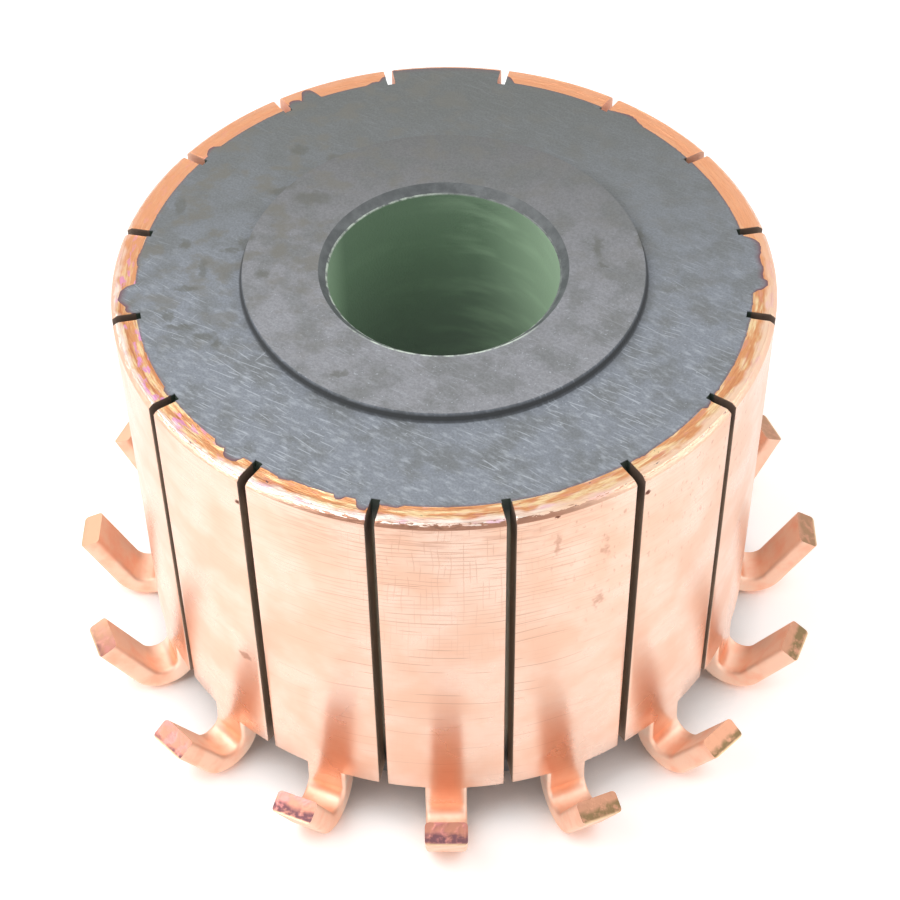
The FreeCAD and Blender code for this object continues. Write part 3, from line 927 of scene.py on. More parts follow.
        # Painted shade: the face and the ring darken towards the rear.
        behind = s.add("MapRange", self.shade_rearward.of(y))
        ahead = s.add("MapRange", self.forward.of(y))
        on_ring = s.add("Math", {0: height, 1: SIZES.core_top - TOUCH}, operation="GREATER_THAN")
        less = s.add("MapRange", self.ring_share.of(on_ring))
        lines = [self.turned(s, place, turn, hairs) for turn, hairs in self.scratches]
        scratches = s.where_all(s.where_any(*lines), ahead, s.patches(place, self.scratched))
        scuffs = s.where_all(self.turned(s, place, self.scuff_turn, self.scuffs), ahead, less)
        aside = s.add("MapRange", self.smeared_side.of(x))
        smears = s.where_all(s.patches(place, self.smears), aside, s.add("MapRange", self.smeared_rear.of(y)))
        stains = s.marks(place, self.stains, SIZES.face_height, ragged=0.12)
        bore_mouth, bore_wall, bore_highlight = self.bore(s, place, radius)
        layers = [
            (behind, self.rear),
            (on_ring, s.layered(self.ring, [(behind, self.ring_rear_shade)])),
            (s.patches(place, self.clouds), self.rear),
            (s.where_all(grain, self.grain_share), self.foot),
            (scuffs, self.scratch),
            (s.where_all(scratches, self.scratch_share, less), self.scratch),
            (s.where_all(s.patches(place, self.flecks), ahead), self.scratch),
            (smears, self.tint),
            (s.where_all(stains, self.stain_share), self.stain),
            self.ring_foot_shade(s, radius, height),
            bore_mouth,
            self.slots(s, radius, height),
            # Below the feet: the skin's own darker tone and painted shade under the bars.
            (s.add("Math", {0: height, 1: SIZES.foot + TOUCH}, operation="LESS_THAN"), self.unground_and_shaded),
            bore_wall,
            bore_highlight,
            # Painted shadow along the flash's raised edge.
            (s.add("Attribute", output="Fac", attribute_name="edge_shadow"), self.edge_shadow),
        ]
        s.shader.inputs["IOR"].default_value = self.ior
        roughness = s.add("MapRange", self.roughness.of(scratches))
        return s.finish(s.layered(self.skin, layers), roughness, [(grain, self.grain_depth)])

    @staticmethod
    def turned(s: Surface, place: Socket, turn: float, pattern: Patch | Hairs) -> Socket:
        """A pattern turned about the part's axis.

        Args:
            s: the material under construction.
            place: the point in millimetres.
            turn: the angle in radians.
            pattern: patches or lines.

        Returns:
            The pattern's value.
        """
        turned = s.add("Mapping", {"Vector": place, "Rotation": (0.0, 0.0, turn)})
        return s.hairlines(turned, pattern) if isinstance(pattern, Hairs) else s.patches(turned, pattern)

    def ring_foot_shade(self, s: Surface, radius: Socket, height: Socket) -> Layer:
        """The painted shade along the foot of the raised ring.

        Args:
            s: the material under construction.
            radius: the distance from the axis.
            height: the height above the collar face.

        Returns:
            The line's mask and its colour.
        """
        beside = s.add("MapRange", self.ring_side.of(radius))
        below = s.add("MapRange", self.below_top.of(height))
        off_face = s.add("Math", {0: radius, 1: SIZES.ring_radius - self.foot_inset}, operation="GREATER_THAN")
        return s.where_all(beside, below, off_face), self.foot

    def slots(self, s: Surface, radius: Socket, height: Socket) -> Layer:
        """The slots' sawn floors, dusty below the face, with painted shade at the foot.

        Args:
            s: the material under construction.
            radius: the distance from the axis.
            height: the height above the collar face.

        Returns:
            The floors' mask and their colour.
        """
        outside = s.add("Math", {0: radius, 1: SIZES.slot_floor - self.floor_depth}, operation="GREATER_THAN")
        lower = s.add("Math", {0: height, 1: SIZES.face_height - self.face_depth}, operation="LESS_THAN")
        dusty, low_shade = (s.add("MapRange", ramp.of(height)) for ramp in (self.dusty, self.low_shade))
        return s.where_all(outside, lower), s.layered(self.saw_green, [(dusty, self.saw_dust), (low_shade, self.slot_foot_shade)])

    def bore(self, s: Surface, place: Socket, radius: Socket) -> list[Layer]:
        """The worn chamfer, the green wall that is lit at its sides, and a painted highlight along its lip and at
        the front of the chamfer's outer edge.

        Args:
            s: the material under construction.
            place: the point in millimetres.
            radius: the distance from the axis.

        Returns:
            A mask and a colour for each of the three.
        """
        x, y, height = (s.add("SeparateXYZ", {0: place}, axis) for axis in range(3))
        mouth_radius = SIZES.bore_radius + SIZES.bore_chamfer
        lip = SIZES.core_top - SIZES.bore_chamfer
        in_mouth = s.add("Math", {0: radius, 1: mouth_radius}, operation="LESS_THAN")
        on_wall = s.add("Math", {0: radius, 1: SIZES.bore_radius + self.wall_depth}, operation="LESS_THAN")
        on_wall = s.where_all(on_wall, s.add("Math", {0: height, 1: lip}, operation="LESS_THAN"))
        lit = s.where_any(s.add("MapRange", self.lit_left.of(x)), s.add("MapRange", self.lit_right.of(x)))
        wisps = s.where_all(s.patches(place, self.wisps), s.add("MapRange", self.wisp_side.of(x)))
        sunk = s.add("MapRange", self.sunk.of(height))
        green = [(sunk, self.deep_green), (wisps, self.lit_green), (lit, self.lit_green)]
        # Painted highlights: along the lip, and along the chamfer's outer edge at the front.
        breadth = s.add("MapRange", self.highlight_breadth.of(y))
        at_lip = s.add("Math", {0: height, 1: lip, 2: breadth}, operation="COMPARE")
        shown = s.where_any(s.add("MapRange", self.highlight_left.of(x)), s.add("MapRange", self.highlight_front.of(y)))
        chamfer_highlight = s.add("Math", {0: radius, 1: mouth_radius, 2: self.chamfer_highlight_breadth}, operation="COMPARE")
        chamfer_highlight = s.where_all(chamfer_highlight, s.add("MapRange", self.chamfer_highlight_front.of(y)))
        lip_highlight = s.where_any(s.where_all(at_lip, in_mouth, shown), chamfer_highlight)
        return [
            (in_mouth, s.layered(self.mouth, [(s.patches(place, self.wear), self.mouth_worn)])),
            (on_wall, s.layered(self.green, green)),
            (s.where_all(lip_highlight, s.patches(place, self.highlight_beads)), self.highlight_green),
        ]


@dataclass(frozen=True)
class WhitePaper:
    """Matt white paper under the part.

    It glows towards the camera where nothing stands over it, so it shows white and keeps the part's
    shadow. Mirrors see it glow too, but less in the photographer's shade and right beside the part.
    """

    paper: str = "#F6F5F4"
    roughness: float = 0.9
    fibres: Patch = Patch(1.2, 0.3, 0.7, 3.0)
    fibre_depth: float = 0.002
    glow: float = 0.4
    reach: float = 3.2
    cleared: Ramp = Ramp(0.28, 0.76)
    in_front: Ramp = Ramp(-9.0, -14.0)
    between: Ramp = Ramp(18.0, 3.0, high=0.55)
    beside: Ramp = Ramp(11.0, 12.2, low=0.6)

    def build(self) -> bpy.types.Material:
        """Make the floor's material.

        Returns:
            The finished material.
        """
        s = Surface("white_paper", 0.0)
        s.shader.inputs["Specular IOR Level"].default_value = 0.0
        material = s.finish(self.paper, self.roughness, [(s.patches(s.place(), self.fibres), self.fibre_depth)])
        sky = s.add("AmbientOcclusion", {"Distance": self.reach * MM}, "AO", samples=8)
        clear = s.add("MapRange", self.cleared.of(sky), interpolation_type="SMOOTHSTEP")
        camera, glossy, through = (
            s.add("LightPath", output=f"Is {kind} Ray") for kind in ("Camera", "Glossy", "Transmission")
        )
        mirrored = s.where_all(s.where_any(glossy, through), self.shade(s))
        # The open sky is worked out for camera rays alone, because it is slow.
        near, far = (s.add("Emission", {"Strength": s.where_all(level, self.glow)}) for level in (clear, mirrored))
        glow = s.add("MixShader", {0: camera, 1: far, 2: near})
        both = s.add("AddShader", {0: s.shader.outputs[0], 1: glow})
        material.node_tree.links.new(both, s.output.inputs["Surface"])
        return material

    def shade(self, s: Surface) -> Socket:
        """The photographer's shade in front of the part, which the front bars mirror.

        Args:
            s: the material under construction.

        Returns:
            1 in the open and less in the shade.
        """
        place = s.place()
        x, y = (s.add("SeparateXYZ", {0: place}, axis) for axis in (0, 1))
        before = s.add("MapRange", self.in_front.of(y))
        between = s.add("MapRange", self.between.of(s.add("Math", {0: x}, operation="ABSOLUTE")))
        clear = s.add("Math", {0: 1.0, 1: s.where_all(before, between)}, operation="SUBTRACT")
        away = s.add("VectorMath", {0: place}, "Value", operation="LENGTH")
        return s.where_all(clear, s.add("MapRange", self.beside.of(away)))


@dataclass
class Shell:
    """Points in millimetres and the faces between them, gathered ring by ring."""

    points: list[Vector] = field(default_factory=list)
    faces: list[tuple[int, ...]] = field(default_factory=list)

    def add_rings(self, rings: Sequence[Sequence[Vector]]) -> None:
        """Join closed rings of equal length into a skin, one after another.

        Args:
            rings: the rings, in order.
        """
        first = len(self.points)
        count = len(rings[0])
        for ring in rings:
            self.points.extend(ring)
        for level in range(len(rings) - 1):
            low = first + level * count
            for index in range(count):
                following = (index + 1) % count
                self.faces.append((low + index, low + following, low + count + following, low + count + index))

    def to_bmesh(self) -> bmesh.types.BMesh:
        """Build a closed mesh in metres from the shell.

        Returns:
            The mesh, with coincident points merged and normals outward.
        """
        mesh = bmesh.new()
        corners = [mesh.verts.new(point * MM) for point in self.points]
        for face in self.faces:
            mesh.faces.new([corners[index] for index in face])
        bmesh.ops.remove_doubles(mesh, verts=mesh.verts, dist=1e-7)
        bmesh.ops.dissolve_degenerate(mesh, edges=mesh.edges, dist=1e-8)
        bmesh.ops.recalc_face_normals(mesh, faces=mesh.faces)
        return mesh


@dataclass(frozen=True)
class StripSection:
    """The section of a rolled strip: a rectangle with rounded long edges."""

    width: float
    thickness: float
    edge: float = 0.06
    across: int = 10
    through: int = 6
    round_steps: int = 3

    def points(self) -> list[tuple[float, float]]:
        """The section's outline.

        Returns:
            Points once round, each by its place along the width and through the thickness.
        """
        arcs = []
        for quarter, (side, face) in enumerate(((1, -1), (1, 1), (-1, 1), (-1, -1))):
            along, through = side * (self.width / 2 - self.edge), face * (self.thickness / 2 - self.edge)
            turns = [90.0 * (quarter - 1) + 90.0 * step / self.round_steps for step in range(self.round_steps + 1)]
            corner = [(math.cos(math.radians(turn)), math.sin(math.radians(turn))) for turn in turns]
            arcs.append([(along + self.edge * out, through + self.edge * up) for out, up in corner])
        outline: list[tuple[float, float]] = []
        for quarter, arc in enumerate(arcs):
            spans = self.across if quarter % 2 else self.through
            begin, finish = Vector(arc[-1]), Vector(arcs[(quarter + 1) % 4][0])
            outline += arc + [tuple(begin.lerp(finish, step / spans)) for step in range(1, spans)]
        return outline


@dataclass(frozen=True)
class Station:
    """One place along a bent strip: where its middle is and which way its outer face looks."""

    radius: float
    height: float
    facing: Vector
    lean: float = 0.0


@dataclass(frozen=True)
class HookBend:
    """How one hook differs from the drawing, as bent hooks do.

    The rise is in degrees. The tip is longer and the hook leans sideways by so many millimetres.
    """

    rise: float
    tip: float
    lean: float


@dataclass
class CopperBar:
    """One hooked bar: the plate that the brushes run on, its tang and hook, and two anchor claws.

    It is drawn facing +X and turned to its place at the end. The tang's root is given as places
    inside the plate, by how far in and how far above the foot they are. The cut end is worn by a
    groove beside the moulding and by noises, each with its scale and its share.
    """

    number: int
    bend: HookBend
    sizes: Sizes = SIZES
    plate_across: int = 36
    plate_up: int = 12
    plate_end: float = 0.05
    edge_round: float = 0.035
    foot_blend: float = 0.08
    chamfer_round: float = 0.01
    end_drawn: tuple[float, ...] = (0.0, 0.12, 0.24, 0.36, 0.48, 0.6, 0.72, 0.84, 1.0)
    end_relief: float = 0.03
    relief_from: float = 0.2
    groove_inset: float = 0.26
    groove_half: float = 0.07
    groove_share: float = 0.5
    end_noises: tuple[tuple[float, float], ...] = ((4.0, 0.35), (11.0, 0.25))
    seed_step: float = 7.3
    tang_root: tuple[tuple[float, float], ...] = ((0.04, 0.5), (0.02, 0.02), (0.0, 0.0))
    bend_steps: int = 22
    bend_lean: float = 0.4
    tip_steps: int = 12
    claw_root: float = 0.3
    claw_steps: int = 10
    track_depth: float = 0.05
    wall_depth: float = 0.012
    hook_clear: float = 1.2
    arc_step: float = 20.0

    @property
    def name(self) -> str:
        """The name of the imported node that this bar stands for."""
        return f"copper_bar_{self.number:02d}"

    @property
    def turn(self) -> Matrix:
        """The rotation from a bar that faces +X to this bar's place."""
        angle = 2 * self.sizes.half_pitch * (self.number - 1) - math.pi / 2
        return Matrix.Rotation(angle, 3, "Z")

    @property
    def rise(self) -> float:
        """The angle at which the hook's tip rises, in radians."""
        return math.radians(self.sizes.hook_rise + self.bend.rise)

    def side_angle(self, radius: float, inset: float) -> float:
        """The angle from the bar's middle to its sawn side, whose wall is parallel to the slot."""
        return self.sizes.half_pitch - math.asin((self.sizes.slot_width / 2 + inset) / radius)

    def plate_ring(
        self, height: float, inset: float = 0.0, side_inset: float = 0.0, foot: float = 0.0, drawn: float = 0.0
    ) -> list[Vector]:
        """One level of the plate, as an outline round it.

        Args:
            height: the level.
            inset: how far the outer surface is drawn in.
            side_inset: how far the sawn sides are drawn in.
            foot: how far the foot's edge is drawn in beside the tang.
            drawn: how far the outline is collapsed, up to 1 where it lies on the plate's middle arc.

        Returns:
            Points once round the plate.
        """
        sizes, edge = self.sizes, self.edge_round
        outer, inner = sizes.bar_radius - inset, sizes.seat_radius
        corner = outer - foot - edge
        bevel = [math.radians(angle) for angle in (30, 60, 90)]
        side = [(outer - foot - edge * (1 - math.cos(angle)), edge * (1 - math.sin(angle))) for angle in bevel]
        side += [(corner * (1 - share) + inner * share, 0.0) for share in (0.2, 0.4, 0.6, 0.8)]
        shares = [2 * step / self.plate_across - 1 for step in range(self.plate_across + 1)]
        outline = []
        for share in shares:
            across = abs(share) * outer * self.side_angle(outer, edge)
            beside = min(max((across - sizes.hook_width / 2) / self.foot_blend, 0.0), 1.0)
            outline.append((outer - foot * beside, edge, share))
        outline += [(radius, into, 1.0) for radius, into in side]
        outline += [(inner, 0.0, share) for share in reversed(shares)]
        outline += [(radius, into, -1.0) for radius, into in reversed(side)]
        middle = 0.5 * (inner + sizes.bar_radius)
        reach = self.side_angle(middle, 0.0)
        end = 1.0 - 0.5 * sizes.bar_wall / (middle * reach)
        ring = []
        for radius, into, share in outline:
            angle = share * self.side_angle(radius, into + side_inset)
            angle += (min(max(share, -end), end) * reach - angle) * drawn
            radius += (middle - radius) * drawn
            ring.append(Vector((radius * math.cos(angle), radius * math.sin(angle), height)))
        return ring

    def worn(self, point: Vector) -> float:
        """The depth of the cut end's wear.

        Args:
            point: a point on the end.

        Returns:
            How far the end lies below its plane there.
        """
        away = math.hypot(point.x, point.y) - self.sizes.seat_radius - self.groove_inset
        depth = self.groove_share * math.exp(-((away / self.groove_half) ** 2))
        seed = Vector((self.number * self.seed_step, 0.0, 0.0))
        for scale, share in self.end_noises:
            depth += share * (noise.noise(Vector((point.x, point.y, 0.0)) * scale + seed) + 1) / 2
        return self.end_relief * depth

    def plate(self) -> Shell:
        """The bar's wall, from its foot to its chamfered and cut end.

        Returns:
            The wall as a closed shell.
        """
        foot, top, chamfer = self.sizes.foot, self.sizes.face_height, self.sizes.bar_chamfer
        edge = self.edge_round
        rings = [self.plate_ring(foot, 0.0, edge, edge, drawn) for drawn in (1.0, 0.5, 0.0)]
        rings.append(self.plate_ring(foot + 0.3 * edge, 0.0, 0.3 * edge, 0.3 * edge))
        first, last = foot + edge, top - chamfer - self.plate_end
        for step in range(self.plate_up + 1):
            rings.append(self.plate_ring(first + (last - first) * step / self.plate_up))
        # Each ring of the chamfer lies so far below the end, inside the track and inside the sides.
        soft = self.chamfer_round
        for drop, inset, side in (
            (chamfer + 2 * soft, 0.0, 0.0),
            (chamfer - soft, 1.2 * soft, 0.0),
            (0.5 * chamfer, 0.5 * chamfer, 0.4 * soft),
            (2 * soft, chamfer - 0.5 * soft, 1.2 * soft),
        ):
            rings.append(self.plate_ring(top - drop, inset, side))
        for drawn in self.end_drawn:
            ring = self.plate_ring(top, chamfer + 2.5 * soft, 3 * soft, 0.0, drawn)
            weight = min(drawn / self.relief_from, 1.0)
            rings.append([point - Vector((0, 0, weight * self.worn(point))) for point in ring])
        shell = Shell()
        shell.add_rings(rings)
        return shell

    def strip(self, stations: Sequence[Station], section: StripSection, flush: int = 0) -> Shell:
        """Sweep a strip along its stations and close both ends.

        Args:
            stations: places along the middle of the strip.
            section: the strip's outline.
            flush: how many first stations follow the turned surface with their outer face.

        Returns:
            The swept strip.
        """
        outline = section.points()
        rings = []
        for index, station in enumerate(stations):
            ring = []
            for along, through in outline:
                centre = Vector((station.radius, along + station.lean, station.height))
                point = centre + station.facing * through
                if index < flush and through > 0:
                    reach = self.sizes.bar_radius - math.sqrt(self.sizes.bar_radius**2 - point.y**2)
                    point.x -= reach * min(1.0, 2 * through / section.thickness)
                ring.append(point)
            rings.append(ring)
        start = [self.drawn_in(rings[0], stations[0], section, share) for share in (1.0, 0.5)]
        end = [self.drawn_in(rings[-1], stations[-1], section, share) for share in (0.12, 0.3, 0.5, 0.75, 1.0)]
        shell = Shell()
        shell.add_rings(start + rings + end)
        return shell

    @staticmethod
    def drawn_in(ring: Sequence[Vector], station: Station, section: StripSection, share: float) -> list[Vector]:
        """Draw a strip's outline in towards the middle line of its end.

        Args:
            ring: the outline in place.
            station: the place that it was swept from.
            section: the strip's outline.
            share: how far, from 0 at the outline to 1 on the middle line.

        Returns:
            The drawn in outline.
        """
        keep = (section.width - section.thickness) / 2
        drawn = []
        for point, (along, _) in zip(ring, section.points()):
            across = min(max(along, -keep), keep) + station.lean
            drawn.append(point.lerp(Vector((station.radius, across, station.height)), share))
        return drawn

    def hook_stations(self) -> list[Station]:
        """Follow the tang and hook down from the foot, round the bend, then up and out to the tip.

        Returns:
            Places along the middle of the strip.
        """
        sizes, lean = self.sizes, self.bend.lean
        middle = sizes.bar_radius - sizes.hook_thickness / 2
        bend = sizes.hook_bend_radius + sizes.hook_thickness / 2
        tang = (*self.tang_root, (0.0, -0.5 * sizes.hook_drop))
        stations = [Station(middle - inset, sizes.foot + above, Vector((1.0, 0.0, 0.0))) for inset, above in tang]
        for step in range(self.bend_steps + 1):
            share = step / self.bend_steps
            angle = math.pi + (math.pi / 2 + self.rise) * share
            out, up = math.cos(angle), math.sin(angle)
            radius, height = middle + bend + bend * out, sizes.foot - sizes.hook_drop + bend * up
            stations.append(Station(radius, height, Vector((-out, 0.0, -up)), lean * share * self.bend_lean))
        last = stations[-1]
        for step in range(1, self.tip_steps + 1):
            share = step / self.tip_steps
            length = (sizes.hook_tip + self.bend.tip) * share
            radius, height = last.radius + length * math.cos(self.rise), last.height + length * math.sin(self.rise)
            leant = lean * (self.bend_lean + (1.0 - self.bend_lean) * share)
            stations.append(Station(radius, height, last.facing, leant))
        return stations

    def hook(self) -> Shell:
        """The tang and its hook, whose first four stations are flush with the brush track."""
        section = StripSection(self.sizes.hook_width, self.sizes.hook_thickness, edge=0.15, round_steps=4)
        return self.strip(self.hook_stations(), section, flush=4)

    def claw(self, upper: bool) -> Shell:
        """An anchor claw on the bar's back, curled towards mid height inside the moulding.

        Args:
            upper: whether it is the upper claw.

        Returns:
            The claw as a closed shell.
        """
        sizes = self.sizes
        bend = sizes.claw_bend_radius + sizes.claw_thickness / 2
        way = 1.0 if upper else -1.0
        root = sizes.face_height - sizes.claw_inset if upper else sizes.foot + sizes.claw_inset
        middle = root - way * (sizes.claw_bend_radius + sizes.claw_thickness)
        stations = [Station(sizes.seat_radius + self.claw_root, middle + way * bend, Vector((0.0, 0.0, way)))]
        for step in range(self.claw_steps + 1):
            angle = math.radians(90.0 * step / self.claw_steps)
            into, along = math.sin(angle), way * math.cos(angle)
            facing = Vector((-into, 0.0, along))
            stations.append(Station(sizes.seat_radius - bend * into, middle + bend * along, facing))
        last = stations[-1]
        stations.append(Station(last.radius, last.height - way * sizes.claw_tip, last.facing))
        return self.strip(stations, StripSection(sizes.claw_width, sizes.claw_thickness, edge=0.03))

    def face_kind(self, centre: Vector, normal: Vector) -> BarFace:
        """Tell how a face of the bar was made.

        Args:
            centre: the face's centre, in millimetres, with the bar facing +X.
            normal: the face's outward normal.

        Returns:
            The kind of surface.
        """
        sizes = self.sizes
        radius = math.hypot(centre.x, centre.y)
        angle = abs(math.atan2(centre.y, centre.x))
        # How squarely a face looks along an axis is the share of its normal on that axis.
        on_plate = centre.z > sizes.foot + TOUCH and radius < sizes.bar_radius + TOUCH
        on_end = centre.z > sizes.face_height - sizes.bar_chamfer - TOUCH and normal.z > 0.35
        by_slot = radius * math.sin(sizes.half_pitch - angle) < sizes.slot_width / 2 + self.wall_depth
        on_track = radius > sizes.bar_radius - self.track_depth
        on_tang = centre.z > sizes.foot - sizes.hook_drop and normal.x > 0.9
        along = Vector((math.cos(self.rise), 0.0, math.sin(self.rise)))
        if on_plate and on_end:
            return BarFace.CUT_END
        if on_plate and by_slot and abs(normal.y) > 0.7:
            return BarFace.SAWN
        if on_track and (on_plate or on_tang):
            return BarFace.TURNED
        if on_plate:
            return BarFace.SAWN
        if radius > sizes.bar_radius + self.hook_clear and normal.dot(along) > 0.8:
            return BarFace.SHEARED
        return BarFace.ROLLED

    def add_places(self, mesh: bpy.types.Mesh) -> None:
        """Give each point of the mesh its place on the bar and its share of the hook's thickness.

        The place runs on by 20 mm from bar to bar, so that no two bars carry the same pattern.

        Args:
            mesh: the bar's mesh, facing +X.
        """
        places: list[float] = []
        depths: list[float] = []
        tip = self.hook_stations()[-1]
        middle = Vector((tip.radius, tip.lean, tip.height))
        for vertex in mesh.vertices:
            point = vertex.co / MM
            arc = math.atan2(point.y, point.x) * self.sizes.bar_radius + self.arc_step * self.number
            places.extend((arc, point.z, math.hypot(point.x, point.y)))
            depths.append(0.5 - (point - middle).dot(tip.facing) / self.sizes.hook_thickness)
        mesh.attributes.new("bar_place", "FLOAT_VECTOR", "POINT").data.foreach_set("vector", places)
        mesh.attributes.new("shear", "FLOAT", "POINT").data.foreach_set("value", depths)

    def build(self, finishes: dict[BarFace, bpy.types.Material]) -> None:
        """Make the bar as one mesh of closed shells, mark its surfaces and put it in its place.

        Args:
            finishes: the material of each kind of surface.
        """
        shells = [self.plate(), self.hook(), self.claw(True), self.claw(False)]
        piece = joined_shells(shells, f"{self.name}_finished")
        mesh = piece.data
        for kind in BarFace:
            mesh.materials.append(finishes[kind])
        for face in mesh.polygons:
            face.material_index = self.face_kind(face.center / MM, face.normal).value
        self.add_places(mesh)
        mesh.transform(self.turn.to_4x4())
        smooth(piece)
        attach(piece, "root")
        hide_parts(self.name)
        LOG.info("%s: %d faces", piece.name, len(mesh.polygons))


def joined_shells(shells: Sequence[Shell], name: str) -> bpy.types.Object:
    """Put closed shells that run into each other into one object.

    Args:
        shells: the shells.
        name: the object's name.

    Returns:
        The new object, linked to the scene.
    """
    whole = bmesh.new()
    for shell in shells:
        part = shell.to_bmesh()
        scratch = bpy.data.meshes.new("scratch")
        part.to_mesh(scratch)
        part.free()
        whole.from_mesh(scratch)
        bpy.data.meshes.remove(scratch)
    mesh = bpy.data.meshes.new(name)
    whole.to_mesh(mesh)
    whole.free()
    return placed(name, mesh)


def placed(name: str, data: bpy.types.ID) -> bpy.types.Object:
    """Put an object into the scene.

    Args:
        name: the object's name.
        data: its mesh, lamp or camera.

    Returns:
        The new object.
    """
    piece = bpy.data.objects.new(name, data)
    bpy.context.scene.collection.objects.link(piece)
    return piece


def smooth(piece: bpy.types.Object, angle: float = 38.0) -> None:
    """Shade a piece smoothly, with hard edges kept where faces meet sharply.

    Args:
        piece: the piece.
        angle: the sharpest turn that is still smooth, in degrees.
    """
    piece.data.polygons.foreach_set("use_smooth", [True] * len(piece.data.polygons))
    piece.data.set_sharp_from_angle(angle=math.radians(angle))
    weighted = piece.modifiers.new("weighted normals", "WEIGHTED_NORMAL")
    weighted.keep_sharp = True


@dataclass(frozen=True)
class Tongue:
    """A place where the moulding has crept out over the copper.

    Azimuths run anticlockwise seen from above, from the front bar's middle, in degrees.
    """

    azimuth: float
    half_width: float
    reach: float


@dataclass
class MouldFlash:
    """The thin ragged film of moulding that overlaps the inner edge of the bars' top ends."""

    finish: bpy.types.Material
    sizes: Sizes = SIZES
    steps: int = 64
    shares: tuple[float, ...] = (0.0, 0.35, 0.6, 0.78, 0.9, 1.0)
    root_inset: float = 0.12
    root_drop: float = 0.004
    lip: float = 0.03
    ragged: float = 0.05
    waves: tuple[tuple[float, float], ...] = ((26.0, 1.0), (85.0, 0.6))
    film: float = 0.01
    sunk: float = 0.045
    edge_drop: float = 0.03
    rim_inset: float = 0.015
    tongues: tuple[Tongue, ...] = (
        Tongue(-84.0, 3.4, 0.62),
        Tongue(-81.0, 1.8, 0.32),
        Tongue(-94.5, 2.5, 0.08),
        Tongue(-58.0, 1.8, 0.1),
        Tongue(-42.0, 1.6, 0.14),
        Tongue(-38.6, 2.2, 0.36),
        Tongue(-29.0, 3.0, 0.08),
        Tongue(-17.5, 1.0, 0.18),
        Tongue(-13.0, 1.5, 0.42),
        Tongue(-8.5, 2.5, 0.1),
        Tongue(37.0, 2.0, 0.06),
        Tongue(54.5, 1.5, 0.12),
        Tongue(87.2, 2.0, 0.56),
        Tongue(91.5, 7.5, 0.4),
        Tongue(96.5, 3.6, 0.52),
        Tongue(141.0, 4.0, 0.18),
        Tongue(-127.5, 2.0, 0.18),
        Tongue(-148.5, 2.0, 0.3),
        Tongue(-152.0, 2.0, 0.68),
        Tongue(-166.0, 2.6, 0.12),
        Tongue(180.0, 14.0, 1.4),
    )

    def edge(self, azimuth: float) -> float:
        """The radius that the film reaches, more ragged where a tongue is long.

        Args:
            azimuth: the direction in degrees.

        Returns:
            The radius in millimetres, held inside the bars' turned surface.
        """
        reach = 0.0
        for tongue in self.tongues:
            away = abs((azimuth - tongue.azimuth + 180.0) % 360.0 - 180.0) / tongue.half_width
            reach = max(reach, tongue.reach * max(0.0, 1.0 - away**2.4))
        turn = math.radians(azimuth)
        around = Vector((math.sin(turn), math.cos(turn), 0.0))
        wave = sum(share * noise.noise(around * scale) for scale, share in self.waves)
        radius = self.sizes.seat_radius + self.lip + reach + self.ragged * wave * (1.0 + 1.5 * min(reach, 0.5))
        return min(max(radius, self.sizes.seat_radius + TOUCH), self.sizes.bar_radius - self.rim_inset)

    def height(self, radius: float, share: float) -> float:
        """The film's upper side: level, rounded down at its edge, and lower over the bars' chamfer.

        Args:
            radius: the distance from the axis.
            share: the share of the film's width, from 0 at its root to 1 at its edge.

        Returns:
            The height above the collar face.
        """
        if share == 0.0:
            return self.sizes.face_height - self.root_drop
        down = max(0.0, radius - (self.sizes.bar_radius - self.sizes.bar_chamfer))
        rounded = self.edge_drop * max(0.0, share - 0.8) / 0.2
        return self.sizes.face_height + self.film - down - rounded

    def ring(self, middle: float, side: float) -> list[Vector]:
        """The film's section at one place along a bar, its upper side outward and then its underside.

        Args:
            middle: the azimuth of the bar's middle, in degrees.
            side: the place, from -1 at the bar's one side to 1 at its other.

        Returns:
            Points once round the section.
        """
        sizes = self.sizes
        azimuth = middle + side * math.degrees(sizes.half_pitch - (sizes.slot_width / 2 + TOUCH) / sizes.bar_radius)
        start, end = sizes.slot_floor - self.root_inset, self.edge(azimuth)
        upper = []
        for share in self.shares:
            radius = start + (end - start) * share
            reach = sizes.half_pitch - math.asin((sizes.slot_width / 2 + TOUCH) / radius)
            turn = math.radians(middle) + side * reach - math.pi / 2
            upper.append(Vector((radius * math.cos(turn), radius * math.sin(turn), self.height(radius, share))))
        under = [Vector((p.x, p.y, min(p.z, sizes.face_height) - self.sunk)) for p in reversed(upper)]
        return upper + under

    def build(self) -> None:
        """Make one film for each bar, clear of the saw slots."""
        for number in range(1, self.sizes.bar_count + 1):
            self.build_one(number)

    def build_one(self, number: int) -> None:
        """Make the film over one bar, and mark its edge for a painted edge shadow.

        Args:
            number: the bar's number.
        """
        middle = math.degrees(2 * self.sizes.half_pitch * (number - 1))
        rings = [self.ring(middle, 2 * step / self.steps - 1) for step in range(self.steps + 1)]
        shell = Shell()
        shell.add_rings(rings)
        count = len(rings[0])
        last = len(shell.points) - count
        shell.faces += [tuple(range(count)), tuple(range(last, last + count))]
        piece = joined_shells([shell], f"mould_flash_{number:02d}")
        edge_shadow = [max(0.0, 5.0 * share - 3.5) for share in self.shares] + [1.0] + [0.0] * (len(self.shares) - 1)
        piece.data.attributes.new("edge_shadow", "FLOAT", "POINT").data.foreach_set("value", edge_shadow * len(rings))
        piece.data.materials.append(self.finish)
        smooth(piece)
        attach(piece, "root")
        LOG.info("%s: %d faces", piece.name, len(piece.data.polygons))


@dataclass
class MouldedCore:
    """The insulating core: bore, raised ring, face, slot floors and collar."""

    finish: bpy.types.Material

    def build(self) -> None:
        """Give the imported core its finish."""
        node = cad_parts["moulded_core"]
        node.data.materials.clear()
        node.data.materials.append(self.finish)
        LOG.info("moulded_core: %d faces", len(node.data.polygons))


